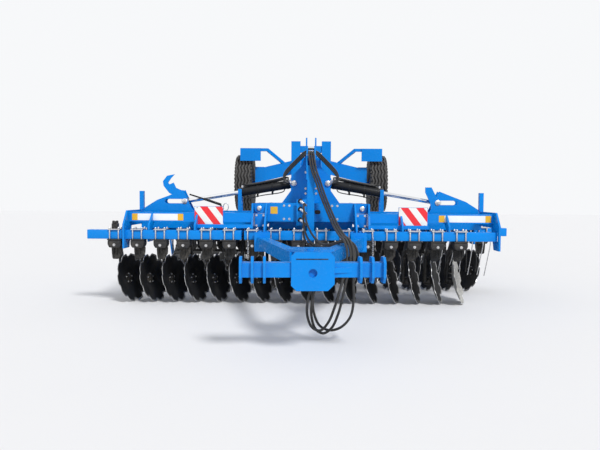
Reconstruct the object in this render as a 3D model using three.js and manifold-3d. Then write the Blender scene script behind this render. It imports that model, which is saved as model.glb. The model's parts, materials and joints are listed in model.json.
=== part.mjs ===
// Folding disc harrow: a towed tillage machine with two rows of notched discs on a three-part
// frame, a packer roller behind each part, and a transport axle that swings up behind the frame.
// Millimetres, +X to the right as seen from the tractor's seat looking back, +Y to the rear,
// +Z up. The zero line of all the places below is the front row of discs.

import * as THREE from 'three';
import { mergeVertices } from 'three/addons/utils/BufferGeometryUtils.js';
import Module from 'manifold-3d';

const wasm = await Module();
wasm.setup();

// ---------------------------------------------------------------- driving dimensions

const GAP = 0.3; // between pieces that are bolted or rest on each other
const PIN_PLAY = 0.3; // between a pin and the bore that turns on it

// discs
const DISC_RADIUS = 280;
const NOTCH_DEPTH = 30;
const TOOTH_COUNT = 10;
const TOOTH_HALF_ANGLE = 10; // degrees, half of the full-radius arc of one tooth
const DISC_THICKNESS = 5;
const DISC_DISH = 60;
const DISC_PITCH = 250;
const DISCS_PER_ROW = 16;
const ROW_SPACING = 990;
const GANG_ANGLE = 18; // degrees between a disc's plane and the direction of travel
const DISC_TILT = 12; // degrees that a disc's top leans over its back

// disc arms and their clamps
const ARM_THICKNESS = 30;
const ARM_OFFSET = 133; // from the disc's middle to the arm's middle, across the machine
const CLAMP_OFFSET = 80; // the same for the clamp on the beam
const CLAMP_WIDTH = 150;
const CLAMP_DEPTH = 140;
const CLAMP_DROP = 100; // height of the rubber housing under the beam
const CLAMP_PLATE = 12;
const HUB_HOUSING_RADIUS = 46;
const HUB_HOUSING_LENGTH = 76;
const HUB_HOUSING_SIDES = 8;

// disc beams
const BEAM = 100; // square section
const BEAM_Z = 790; // middle of the beam above the ground
const BEAM_LEAD = 350; // beam ahead of its own row of discs
const HALF_WIDTH = 2430; // middle of the machine to the end of the longer beam
const END_PLATE_X = 2020; // middle of the end plate
const PLATE = 20; // frame plates

// frame
const HINGE_X = 575;
const HINGE_Z = 1080;
const HINGE_PIN_RADIUS = 20;
const HINGE_LUG_RADIUS = 55;
const WING_SIDE_X = 645; // middle of the wing's inner side plate
const CENTRE_SIDE_X = 495; // middle of the centre frame's side plate
const MAIN_BEAM_SETBACK = 310; // main beam ahead of the rear disc beam
const MAIN_BEAM_Y = ROW_SPACING - BEAM_LEAD - MAIN_BEAM_SETBACK;
const MAIN_BEAM_WIDTH = 140;
const MAIN_BEAM_LOW = 830;
const MAIN_BEAM_TOP = 1040;
const UPPER_BEAM_Y = -200; // front upper beam of a wing
const UPPER_BEAM_WIDTH = 100;
const UPPER_BEAM_LOW = 925;
const UPPER_BEAM_TOP = 1030;
const PANEL_TOP = 1140; // top of the centre frame's boxes
const PANEL_LOW = 930;

// fold cylinders
const FOLD_BASE_X = 200;
const FOLD_BASE_Z = 1370;
const FOLD_EYE_X = 1500;
const FOLD_EYE_Z = 1150;
const FOLD_BARREL_RADIUS = 50;
const FOLD_BARREL_LENGTH = 668;
const FOLD_STROKE = 586; // travel of the rod, which is full out with the wing down
const FOLD_ROD_RADIUS = 25;
const FOLD_PIN_RADIUS = 25;
const FOLD_EYE_WIDTH = 106;
const BRACKET_INNER = 58; // middle of the cylinder to the bracket plate
const BRACKET_PLATE = 13;
const REST_PRONG_X = [822, 866]; // the two prongs that guide a barrel
const REST_PRONG_TOP = 1300;

// rollers
const ROLLER_RADIUS = 260;
const ROLLER_BARS = 10;
const ROLLER_BAR_WIDTH = 40;
const ROLLER_BAR_THICKNESS = 15;
const ROLLER_Y = 1950;
const ROLLER_SHAFT_RADIUS = 25;

// transport axle
const AXLE_PIVOT_Y = 2050;
const AXLE_PIVOT_Z = 1000;
const AXLE_PIN_RADIUS = 35;
const CHASSIS_ARM_X = 235;
const CHASSIS_ARM_WIDTH = 140;
const WHEEL_RADIUS = 500;
const WHEEL_WIDTH = 300;
const WHEEL_X = 1162;
const WHEEL_Y = 3830;
const WHEEL_Z = 1450;
const RIM_RADIUS = 200;
const AXLE_STUB_RADIUS = 45;
const LIFT_BASE_Y = 1300;
const LIFT_BASE_Z = 1250;
const LIFT_EYE_Y = 2500;
const LIFT_EYE_Z = 1950;
const LIFT_BARREL_RADIUS = 58;
const LIFT_BARREL_LENGTH = 900;
const LIFT_ROD_RADIUS = 30;
const LIFT_PIN_RADIUS = 25;

// drawbar and hitch
const DRAWBAR_Z = 720;
const DRAWBAR_TUBE = 110;
const SWIVEL_Y = -2250;
const SWIVEL_RADIUS = 32;
const SWIVEL_LUG = 40;
const HITCH_Z = 673;
const HITCH_TUBE = 107;
const HITCH_REACH = 525; // middle of the crossbar to its outer plate
const HITCH_YAW = 4; // degrees the crossbar has swung as the machine stands
const HITCH_FORWARD = 215; // crossbar ahead of the swivel pin

// hoses
const HOSE_RADIUS = 11;

const DEGREE = Math.PI / 180;
const ROUND = 12; // sides of a round piece
const PIN_SIDES = 16; // sides of a pin and of the bore that turns on it
const STUB_SIDES = 20;

// ---------------------------------------------------------------- finishes

function finish(colour, roughness, metalness) {
  return new THREE.MeshStandardMaterial({ color: colour, roughness, metalness, flatShading: true });
}

const bluePaint = finish(0x0078dc, 0.35, 0.1);
const blackPaint = finish(0x101214, 0.4, 0.2);
const discSteel = finish(0x0d0e10, 0.35, 0.5);
const rollerPaint = finish(0x16181a, 0.5, 0.2);
const tyreRubber = finish(0x1a1a1b, 0.85, 0);
const chrome = finish(0xc9ced4, 0.15, 1);
const hoseRubber = finish(0x151515, 0.6, 0);
const couplerZinc = finish(0xb9bcc0, 0.35, 0.9);

// ---------------------------------------------------------------- solids

function toSolid(geometry) {
  geometry.deleteAttribute('normal');
  geometry.deleteAttribute('uv');
  const merged = mergeVertices(geometry, 1e-3);
  return new wasm.Manifold(new wasm.Mesh({
    numProp: 3,
    vertProperties: new Float32Array(merged.attributes.position.array),
    triVerts: new Uint32Array(merged.index.array),
  }));
}

function toGeometry(solid) {
  const mesh = solid.getMesh();
  const geometry = new THREE.BufferGeometry();
  geometry.setAttribute('position', new THREE.BufferAttribute(mesh.vertProperties, 3));
  geometry.setIndex(new THREE.BufferAttribute(mesh.triVerts, 1));
  return geometry;
}

function union(solids) {
  return solids.reduce((whole, solid) => whole.add(solid));
}

function cut(solid, tools) {
  return tools.reduce((rest, tool) => rest.subtract(tool), solid);
}

// a block from its low and high faces along each axis
function block(x, y, z) {
  const geometry = new THREE.BoxGeometry(x[1] - x[0], y[1] - y[0], z[1] - z[0]);
  geometry.translate((x[0] + x[1]) / 2, (y[0] + y[1]) / 2, (z[0] + z[1]) / 2);
  return toSolid(geometry);
}

// a round bar between two points
function bar(from, to, radius, sides = ROUND) {
  const start = new THREE.Vector3(...from);
  const end = new THREE.Vector3(...to);
  const along = end.clone().sub(start);
  const geometry = new THREE.CylinderGeometry(radius, radius, along.length(), sides);
  const turn = new THREE.Quaternion().setFromUnitVectors(new THREE.Vector3(0, 1, 0), along.normalize());
  geometry.applyQuaternion(turn);
  const middle = start.add(end).multiplyScalar(0.5);
  geometry.translate(middle.x, middle.y, middle.z);
  return toSolid(geometry);
}

// a square-cornered tube between two points: width is level, height stands up from it
function boxTube(from, to, width, height) {
  const start = new THREE.Vector3(...from);
  const end = new THREE.Vector3(...to);
  const along = end.clone().sub(start);
  const length = along.length();
  along.normalize();
  const side = new THREE.Vector3(0, 0, 1).cross(along).normalize();
  const up = along.clone().cross(side);
  const middle = start.add(end).multiplyScalar(0.5);
  const geometry = new THREE.BoxGeometry(length, width, height);
  geometry.applyMatrix4(new THREE.Matrix4().makeBasis(along, side, up).setPosition(middle));
  return toSolid(geometry);
}

function outlineShape(points) {
  return new THREE.Shape(points.map(([u, v]) => new THREE.Vector2(u, v)));
}

function extrude(points, depth) {
  return new THREE.ExtrudeGeometry(outlineShape(points), { depth, bevelEnabled: false });
}

// two distances from the machine's middle, on one side of it, the lower number first
function onSide(side, near, far) {
  return [Math.min(side * near, side * far), Math.max(side * near, side * far)];
}

// a plate with its outline in Y and Z, between two values of X
function sidePlate(points, from, to) {
  const geometry = extrude(points, to - from);
  geometry.applyMatrix4(new THREE.Matrix4().set(0, 0, 1, from, 1, 0, 0, 0, 0, 1, 0, 0, 0, 0, 0, 1));
  return toSolid(geometry);
}

// a plate with its outline in X and Z, between two values of Y
function frontPlate(points, from, to) {
  const geometry = extrude(points, to - from);
  geometry.rotateX(Math.PI / 2);
  geometry.translate(0, to, 0);
  return toSolid(geometry);
}

// a plate with its outline in X and Y, between two values of Z
function flatPlate(points, from, to) {
  const geometry = extrude(points, to - from);
  geometry.translate(0, 0, from);
  return toSolid(geometry);
}

// the outline points of an arc, angles in degrees
function arc(centre, radius, from, to, steps) {
  const points = [];
  for (let step = 0; step <= steps; step += 1) {
    const angle = (from + (to - from) * step / steps) * DEGREE;
    points.push([centre[0] + radius * Math.cos(angle), centre[1] + radius * Math.sin(angle)]);
  }
  return points;
}

const mirrorX = (solid) => solid.mirror([1, 0, 0]);

const machine = new THREE.Group();

function addPiece(name, solid, material) {
  const mesh = new THREE.Mesh(toGeometry(solid), material);
  mesh.name = name;
  machine.add(mesh);
  return mesh;
}

// ---------------------------------------------------------------- discs

const cosTilt = Math.cos(DISC_TILT * DEGREE);
const sinTilt = Math.sin(DISC_TILT * DEGREE);
const cosGang = Math.cos(GANG_ANGLE * DEGREE);
const sinGang = Math.sin(GANG_ANGLE * DEGREE);
const NOTCH_HALF_ANGLE = 180 / TOOTH_COUNT - TOOTH_HALF_ANGLE;

// a disc stands on the two tooth corners beside its lowest notch
const DISC_Z = DISC_RADIUS * Math.cos(NOTCH_HALF_ANGLE * DEGREE) * cosTilt + DISC_THICKNESS * sinTilt;

const ROWS = {
  front: { y: 0, beamY: -BEAM_LEAD, side: 1 },
  rear: { y: ROW_SPACING, beamY: ROW_SPACING - BEAM_LEAD, side: -1 },
};
const FIRST_DISC_X = -2050;

// disc 0 of the front row is at the machine's outer end on -X, that of the rear row on +X
function discX(row, index) {
  return row.side * (FIRST_DISC_X + DISC_PITCH * index);
}

// unit vector along a disc's axle, out of its hollow face
function discNormal(row) {
  return new THREE.Vector3(row.side * cosGang * cosTilt, -sinGang * cosTilt, sinTilt);
}

// a point behind the hollow face of a disc, measured along its axle from the middle of its rim
function behindDisc(row, index, distance) {
  const normal = discNormal(row);
  return [
    discX(row, index) - normal.x * distance,
    row.y - normal.y * distance,
    DISC_Z - normal.z * distance,
  ];
}

function dishAt(radius) {
  return -DISC_DISH * (1 - (radius / DISC_RADIUS) ** 2);
}

// a bowl with its rim in the plane Z = 0 and its back to -Z, standing on a notch at -Y
function discGeometry() {
  const profile = [
    new THREE.Vector2(0, dishAt(0) - DISC_THICKNESS),
    new THREE.Vector2(DISC_RADIUS, -DISC_THICKNESS),
    new THREE.Vector2(DISC_RADIUS, 0),
    new THREE.Vector2(0, dishAt(0)),
  ];
  const stepsPerTooth = 3;
  const geometry = new THREE.LatheGeometry(profile, TOOTH_COUNT * stepsPerTooth);
  const position = geometry.attributes.position;
  const toothPitch = 360 / TOOTH_COUNT;
  const cornerAngles = [0, NOTCH_HALF_ANGLE, toothPitch - NOTCH_HALF_ANGLE];
  for (let column = 0; column <= TOOTH_COUNT * stepsPerTooth; column += 1) {
    const tooth = Math.floor(column / stepsPerTooth);
    const corner = column % stepsPerTooth;
    const angle = (tooth * toothPitch + cornerAngles[corner]) * DEGREE;
    for (let row = 0; row < profile.length; row += 1) {
      const onRim = profile[row].x > 0;
      const radius = onRim && corner === 0 ? DISC_RADIUS - NOTCH_DEPTH : profile[row].x;
      const lift = onRim ? dishAt(radius) : 0;
      position.setXYZ(
        column * profile.length + row,
        radius * Math.sin(angle),
        profile[row].y + lift,
        radius * Math.cos(angle),
      );
    }
  }
  geometry.rotateX(Math.PI / 2);
  return geometry;
}

const discShape = toGeometry(toSolid(discGeometry()));

for (const [rowName, row] of Object.entries(ROWS)) {
  const normal = discNormal(row);
  const up = new THREE.Vector3(0, 0, 1).addScaledVector(normal, -normal.z).normalize();
  const across = up.clone().cross(normal);
  const basis = new THREE.Matrix4().makeBasis(across, up, normal);
  const turn = new THREE.Quaternion().setFromRotationMatrix(basis);
  for (let index = 0; index < DISCS_PER_ROW; index += 1) {
    const mesh = new THREE.Mesh(discShape, discSteel);
    mesh.name = `disc_${rowName}_${String(index + 1).padStart(2, '0')}`;
    mesh.position.set(discX(row, index), row.y, DISC_Z);
    mesh.quaternion.copy(turn);
    machine.add(mesh);
  }
}

// ---------------------------------------------------------------- disc beams and arms

const BEAM_LOW = BEAM_Z - BEAM / 2;
const BEAM_TOP = BEAM_Z + BEAM / 2;
const HUB_START = DISC_DISH + DISC_THICKNESS + PIN_PLAY;
const HUB_END = HUB_START + HUB_HOUSING_LENGTH;

// outline of one arm from its clamp back and down to the hub, before it is set behind its row
function armOutline(hubY, hubZ) {
  const beamY = -BEAM_LEAD;
  return [
    [beamY, BEAM_LOW - 8],
    [beamY, BEAM_LOW - CLAMP_DROP + 10],
    [beamY + 150, BEAM_LOW - 112],
    [hubY - 90, 530],
    [hubY - 38, hubZ],
    [hubY + 38, hubZ],
    [hubY + 10, 560],
    [beamY + 160, BEAM_LOW - 12],
  ];
}

function clampHousing(x, beamY) {
  const half = CLAMP_WIDTH / 2;
  const low = BEAM_LOW - CLAMP_DROP;
  const points = [
    [x - half, BEAM_LOW + 2],
    [x - half, BEAM_LOW - 45],
    [x - half + 28, low],
    [x + half - 28, low],
    [x + half, BEAM_LOW - 45],
    [x + half, BEAM_LOW + 2],
  ];
  return frontPlate(points, beamY - CLAMP_DEPTH / 2, beamY + CLAMP_DEPTH / 2);
}

function discArm(row, index) {
  const hub = behindDisc(row, index, (HUB_START + HUB_END) / 2);
  const armX = discX(row, index) - row.side * ARM_OFFSET;
  const outline = armOutline(hub[1] - row.y, hub[2]).map(([y, z]) => [y + row.y, z]);
  const plate = sidePlate(outline, armX - ARM_THICKNESS / 2, armX + ARM_THICKNESS / 2);
  const hubEnds = [behindDisc(row, index, HUB_START), behindDisc(row, index, HUB_END)];
  const housing = bar(...hubEnds, HUB_HOUSING_RADIUS, HUB_HOUSING_SIDES);
  const clampX = discX(row, index) - row.side * CLAMP_OFFSET;
  return union([plate, housing, clampHousing(clampX, row.beamY)]);
}

// a beam with the arms of the discs from one index to another
function discBeam(row, firstDisc, lastDisc, ends) {
  const low = Math.min(...ends);
  const high = Math.max(...ends);
  const half = BEAM / 2;
  const parts = [block([low, high], [row.beamY - half, row.beamY + half], [BEAM_LOW, BEAM_TOP])];
  for (let index = firstDisc; index <= lastDisc; index += 1) {
    parts.push(discArm(row, index));
  }
  return union(parts);
}

const BEAM_END = END_PLATE_X - PLATE / 2 - GAP;
const CENTRE_BEAM_END = CENTRE_SIDE_X - PLATE / 2 - GAP;
const LONG_SPLIT = 735; // where the beam parts beyond the centre frame's side plate
const SHORT_SPLIT = CENTRE_SIDE_X + 30;
const SPLIT_GAP = 15;

for (const [rowName, row] of Object.entries(ROWS)) {
  const far = row.side < 0 ? 'right' : 'left';
  const near = row.side < 0 ? 'left' : 'right';
  const at = (x) => row.side * x;
  const farEnds = [at(-HALF_WIDTH), at(-LONG_SPLIT - SPLIT_GAP)];
  const centreEnds = [at(-LONG_SPLIT + SPLIT_GAP), at(CENTRE_BEAM_END)];
  const nearEnds = [at(SHORT_SPLIT), at(BEAM_END)];
  addPiece(`${far}_${rowName}_disc_beam`, discBeam(row, 0, 5, farEnds), bluePaint);
  addPiece(`centre_${rowName}_disc_beam`, discBeam(row, 6, 10, centreEnds), bluePaint);
  addPiece(`${near}_${rowName}_disc_beam`, discBeam(row, 11, 15, nearEnds), bluePaint);
}

// square hole that a disc beam passes through
function beamHole(row, x) {
  const half = BEAM / 2 + GAP;
  const across = [row.beamY - half, row.beamY + half];
  return block([x - PLATE, x + PLATE], across, [BEAM_LOW - GAP, BEAM_TOP + GAP]);
}

// ---------------------------------------------------------------- rollers

// two bars side by side carry the roller, so its shaft is a little lower than its radius
const barCornerAngle = Math.PI / ROLLER_BARS - Math.asin(ROLLER_BAR_WIDTH / 2 / ROLLER_RADIUS);
const ROLLER_Z = ROLLER_RADIUS * Math.cos(barCornerAngle);
const BEARING_HOLE = (ROLLER_SHAFT_RADIUS + PIN_PLAY) / Math.cos(Math.PI / PIN_SIDES);

function roller(from, to, arms) {
  const faceRadius = Math.sqrt(ROLLER_RADIUS ** 2 - (ROLLER_BAR_WIDTH / 2) ** 2);
  const shaftEnds = arms.map((x) => [x, ROLLER_Y, ROLLER_Z]);
  const parts = [bar(...shaftEnds, ROLLER_SHAFT_RADIUS, PIN_SIDES)];
  const discCount = Math.round((to - from) / 1300) + 1;
  for (let index = 0; index < discCount; index += 1) {
    const x = from + 8 + (to - from - 16) * index / (discCount - 1);
    const geometry = new THREE.CylinderGeometry(faceRadius - 5, faceRadius - 5, 10, ROLLER_BARS);
    geometry.rotateY(Math.PI / ROLLER_BARS);
    geometry.rotateZ(Math.PI / 2);
    geometry.translate(x, ROLLER_Y, ROLLER_Z);
    parts.push(toSolid(geometry));
  }
  for (let index = 0; index < ROLLER_BARS; index += 1) {
    const geometry = new THREE.BoxGeometry(to - from, ROLLER_BAR_WIDTH, ROLLER_BAR_THICKNESS);
    geometry.translate(0, 0, -faceRadius + ROLLER_BAR_THICKNESS / 2);
    geometry.rotateX((index + 0.5) * 2 * Math.PI / ROLLER_BARS);
    geometry.translate((from + to) / 2, ROLLER_Y, ROLLER_Z);
    parts.push(toSolid(geometry));
  }
  return union(parts);
}

const ROLLER_CLEAR = 12; // between a roller's end disc and its arm

// ---------------------------------------------------------------- frame plates

const REAR_BEAM_Y = ROWS.rear.beamY;
const FRONT_BEAM_Y = ROWS.front.beamY;
const ABOVE_BEAM = BEAM_TOP + CLAMP_PLATE + 18;

// the roller arm runs back above the rear discs and down to the roller's bearing
const ROLLER_ARM_BACK = [
  [1480, 1000],
  [1760, 760],
  [ROLLER_Y + 62, ROLLER_Z + 20],
  [ROLLER_Y + 40, ROLLER_Z - 48],
  [ROLLER_Y - 40, ROLLER_Z - 48],
  [ROLLER_Y - 62, ROLLER_Z + 20],
  [1660, 700],
  [1420, 890],
];

function bearing(x, width) {
  return bar([x - width / 2, ROLLER_Y, ROLLER_Z], [x + width / 2, ROLLER_Y, ROLLER_Z], 62);
}

function bearingBore(x) {
  return bar([x - 60, ROLLER_Y, ROLLER_Z], [x + 60, ROLLER_Y, ROLLER_Z], BEARING_HOLE, PIN_SIDES);
}

// ---------------------------------------------------------------- hinges between wing and centre

const HINGE_STATIONS = [-120, 720];
const WING_LUG = 15; // half the thickness of the wing's lug
const FORK_INNER = 21;
const FORK_OUTER = 41;

function hingeLug(side, rootX, from, to) {
  const x = side * HINGE_X;
  const away = side * Math.sign(HINGE_X - rootX); // the way the round end looks
  const firstAngle = away > 0 ? -90 : 90;
  const tip = arc([x, HINGE_Z], HINGE_LUG_RADIUS, firstAngle, firstAngle + 180, 6);
  const root = side * rootX;
  const outline = away > 0
    ? [[root, HINGE_Z - HINGE_LUG_RADIUS], ...tip, [root, HINGE_Z + HINGE_LUG_RADIUS]]
    : [[root, HINGE_Z + HINGE_LUG_RADIUS], ...tip, [root, HINGE_Z - HINGE_LUG_RADIUS]];
  return frontPlate(outline, from, to);
}

function hingePin(side, y) {
  const x = side * HINGE_X;
  const reach = FORK_OUTER + 6;
  return bar([x, y - reach, HINGE_Z], [x, y + reach, HINGE_Z], HINGE_PIN_RADIUS, PIN_SIDES);
}

function hingeBore(side, y) {
  const radius = (HINGE_PIN_RADIUS + PIN_PLAY) / Math.cos(Math.PI / PIN_SIDES);
  return bar([side * HINGE_X, y - 60, HINGE_Z], [side * HINGE_X, y + 60, HINGE_Z], radius, PIN_SIDES);
}

// ---------------------------------------------------------------- wings

const WING_FRONT = UPPER_BEAM_Y - UPPER_BEAM_WIDTH / 2;
const BOARD_BAR = 40;
const BOARD_BAR_LOW = 862;

function wingSideOutline() {
  return [
    [WING_FRONT - BOARD_BAR, ABOVE_BEAM - 12],
    [WING_FRONT - BOARD_BAR, 905],
    [WING_FRONT, 1000],
    [WING_FRONT + 20, HINGE_Z + HINGE_LUG_RADIUS],
    [810, HINGE_Z + HINGE_LUG_RADIUS],
    ...ROLLER_ARM_BACK,
    [760, ABOVE_BEAM],
  ];
}

function endPlateOutline() {
  return [
    [FRONT_BEAM_Y - 95, 640],
    [FRONT_BEAM_Y - 95, 900],
    [WING_FRONT - 60, 1050],
    [MAIN_BEAM_Y + 100, 1050],
    ...ROLLER_ARM_BACK,
    [REAR_BEAM_Y + 110, 760],
    [REAR_BEAM_Y + 110, 640],
    [REAR_BEAM_Y - 90, 640],
    [REAR_BEAM_Y - 130, 880],
    [FRONT_BEAM_Y + 180, 880],
    [FRONT_BEAM_Y + 90, 640],
  ];
}

const frontHanger = [
  [FRONT_BEAM_Y - BEAM / 2, BEAM_TOP + GAP],
  [FRONT_BEAM_Y + BEAM / 2, BEAM_TOP + GAP],
  [UPPER_BEAM_Y + 20, UPPER_BEAM_LOW + 10],
  [UPPER_BEAM_Y + 20, UPPER_BEAM_TOP - 5],
  [WING_FRONT + 10, UPPER_BEAM_TOP - 5],
  [FRONT_BEAM_Y - BEAM / 2, 900],
];

const rearHanger = [
  [REAR_BEAM_Y - BEAM / 2, BEAM_TOP + GAP],
  [REAR_BEAM_Y + BEAM / 2, BEAM_TOP + GAP],
  [REAR_BEAM_Y + BEAM / 2, 900],
  [MAIN_BEAM_Y + MAIN_BEAM_WIDTH / 2 - 10, MAIN_BEAM_TOP - 5],
  [MAIN_BEAM_Y, MAIN_BEAM_TOP - 5],
  [MAIN_BEAM_Y, MAIN_BEAM_LOW + 5],
];

// places between the disc clamps, where a hanger plate can stand on the beam
function betweenClamps(row, index) {
  return discX(row, index) - row.side * CLAMP_OFFSET + row.side * DISC_PITCH / 2;
}

function hangerX(side) {
  const farRow = side < 0 ? ROWS.front : ROWS.rear;
  const nearRow = side < 0 ? ROWS.rear : ROWS.front;
  const farPlaces = [betweenClamps(farRow, 1), betweenClamps(farRow, 3)];
  const nearPlaces = [betweenClamps(nearRow, 14), betweenClamps(nearRow, 12)];
  return side < 0 ? { front: farPlaces, rear: nearPlaces } : { front: nearPlaces, rear: farPlaces };
}

const BRACKET_OUTLINE = [
  [1400, 1030],
  [1448, 1128],
  [1520, 1284],
  [1688, 1218],
  [1832, 1164],
  [1976, 1074],
  [1990, 1030],
];
const BRACKET_SLOT = { from: 1515, to: 1715, z: 1150, radius: 26 };

const HOOK_OUTLINE = [
  [1600, 1200],
  [1688, 1248],
  [1754, 1332],
  [1762, 1386],
  [1712, 1452],
  [1620, 1470],
  [1664, 1422],
  [1700, 1368],
  [1682, 1350],
  [1634, 1370],
  [1604, 1308],
  [1520, 1272],
  [1500, 1230],
];

const LUG_OUTLINE = [
  [1353, 1332],
  [1353, 1272],
  [1410, 1152],
  [1433, 1035],
  [1500, 1035],
  [1540, 1100],
  [1517, 1160],
  [1427, 1332],
];

// an outline drawn for +X, turned over for the other wing
function sided(points, side) {
  return points.map(([x, z]) => [side * x, z]);
}

function foldBracket(side, plates) {
  const slot = [
    ...arc([BRACKET_SLOT.to, BRACKET_SLOT.z], BRACKET_SLOT.radius, -90, 90, 6),
    ...arc([BRACKET_SLOT.from, BRACKET_SLOT.z], BRACKET_SLOT.radius, 90, 270, 6),
  ];
  return plates.map(([from, to]) => cut(
    frontPlate(sided(BRACKET_OUTLINE, side), from, to),
    [frontPlate(sided(slot, side), from - 5, to + 5)],
  ));
}

function wingFrame(side) {
  const inner = side * WING_SIDE_X;
  const outer = side * END_PLATE_X;
  const span = [Math.min(inner, outer), Math.max(inner, outer)];
  const frontPlateY = [MAIN_BEAM_Y - BRACKET_INNER - BRACKET_PLATE, MAIN_BEAM_Y - BRACKET_INNER];
  const rearPlateY = [MAIN_BEAM_Y + BRACKET_INNER, MAIN_BEAM_Y + BRACKET_INNER + BRACKET_PLATE];
  const atX = (near, far) => onSide(side, near, far);
  const mainBeamY = [MAIN_BEAM_Y - MAIN_BEAM_WIDTH / 2, MAIN_BEAM_Y + MAIN_BEAM_WIDTH / 2];
  const boardBarZ = [BOARD_BAR_LOW, BOARD_BAR_LOW + BOARD_BAR];
  const hangers = hangerX(side);
  const parts = [
    block(span, mainBeamY, [MAIN_BEAM_LOW, MAIN_BEAM_TOP]),
    block(span, [WING_FRONT, WING_FRONT + UPPER_BEAM_WIDTH], [UPPER_BEAM_LOW, UPPER_BEAM_TOP]),
    sidePlate(wingSideOutline(), inner - PLATE / 2, inner + PLATE / 2),
    sidePlate(endPlateOutline(), outer - PLATE / 2, outer + PLATE / 2),
    block(atX(1290, 1370), [UPPER_BEAM_Y, MAIN_BEAM_Y], [940, 1020]),
    block(atX(WING_SIDE_X, 1290), [WING_FRONT - BOARD_BAR, WING_FRONT + 4], boardBarZ),
    block(atX(966, 1284), [WING_FRONT - 12, WING_FRONT + 4], [885, 1100]),
    block(atX(2005, 2055), [MAIN_BEAM_Y - 25, MAIN_BEAM_Y + 25], [MAIN_BEAM_TOP - 40, 1270]),
    bearing(inner + side * 10, 50),
    bearing(outer - side * 10, 50),
    ...foldBracket(side, [frontPlateY, rearPlateY]),
  ];
  for (const x of hangers.front) {
    parts.push(sidePlate(frontHanger, x - PLATE / 2, x + PLATE / 2));
  }
  for (const x of hangers.rear) {
    parts.push(sidePlate(rearHanger, x - PLATE / 2, x + PLATE / 2));
  }
  for (const y of HINGE_STATIONS) {
    parts.push(hingeLug(side, WING_SIDE_X, y - WING_LUG, y + WING_LUG));
  }
  const restGap = FOLD_BARREL_RADIUS + 8;
  for (const sign of [-1, 1]) {
    const near = MAIN_BEAM_Y + sign * restGap;
    const far = near + sign * 11;
    const prongY = [Math.min(near, far), Math.max(near, far)];
    parts.push(block(atX(...REST_PRONG_X), prongY, [MAIN_BEAM_TOP - 10, REST_PRONG_TOP]));
  }
  if (side < 0) {
    parts.push(frontPlate(sided(HOOK_OUTLINE, side), ...frontPlateY));
  } else {
    parts.push(frontPlate(sided(LUG_OUTLINE, side), ...frontPlateY));
  }
  const holes = [
    bearingBore(inner),
    bearingBore(outer),
    beamHole(ROWS.front, outer),
    beamHole(ROWS.rear, outer),
  ];
  for (const y of HINGE_STATIONS) {
    holes.push(hingeBore(side, y));
  }
  return cut(union(parts), holes);
}

for (const [name, side] of [['left', -1], ['right', 1]]) {
  addPiece(`${name}_wing_frame`, wingFrame(side), bluePaint);
  const near = WING_SIDE_X + 35 + ROLLER_CLEAR;
  const far = END_PLATE_X - 35 - ROLLER_CLEAR;
  const arms = [side * (WING_SIDE_X - 14), side * (END_PLATE_X + 14)];
  const ends = [side * near, side * far];
  addPiece(
    `${name}_roller`,
    roller(Math.min(...ends), Math.max(...ends), [Math.min(...arms), Math.max(...arms)]),
    rollerPaint,
  );
}

// ---------------------------------------------------------------- centre frame

const MAST_FRONT = -200;
const MAST_TOP = 1560;
const HOSE_CLAMP_FRONT = -10;
const TOWER_PLATE = 15;
const CHANNEL_X = [38, 52]; // plates that run from the mast to the tower
const LIFT_LUG_X = [64, 84];
const TOWER_INNER = 75; // middle of the fold cylinders to the tower's plates
const TOWER_FRONT = MAIN_BEAM_Y - TOWER_INNER - TOWER_PLATE;
const LEG_FRONT = FRONT_BEAM_Y - 110;
const BACKBONE_HALF = 110;
const BACKBONE_END = 1960;

function centreSideOutline() {
  return [
    [LEG_FRONT, 620],
    [LEG_FRONT, 860],
    [-150, PANEL_TOP],
    [790, PANEL_TOP],
    [850, 1040],
    ...ROLLER_ARM_BACK,
    [REAR_BEAM_Y + 120, ABOVE_BEAM],
    [REAR_BEAM_Y + 70, 700],
    [REAR_BEAM_Y - 70, 700],
    [REAR_BEAM_Y - 130, ABOVE_BEAM + 30],
    [FRONT_BEAM_Y + 200, ABOVE_BEAM + 30],
    [FRONT_BEAM_Y + 90, 620],
  ];
}

function kidneySlot(from, to) {
  const radius = 22;
  const z = 1040;
  const points = [
    ...arc([to - radius, z], radius, -90, 90, 6),
    ...arc([from + radius, z], radius, 90, 270, 6),
  ];
  return frontPlate(points, -130, -60);
}

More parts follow.
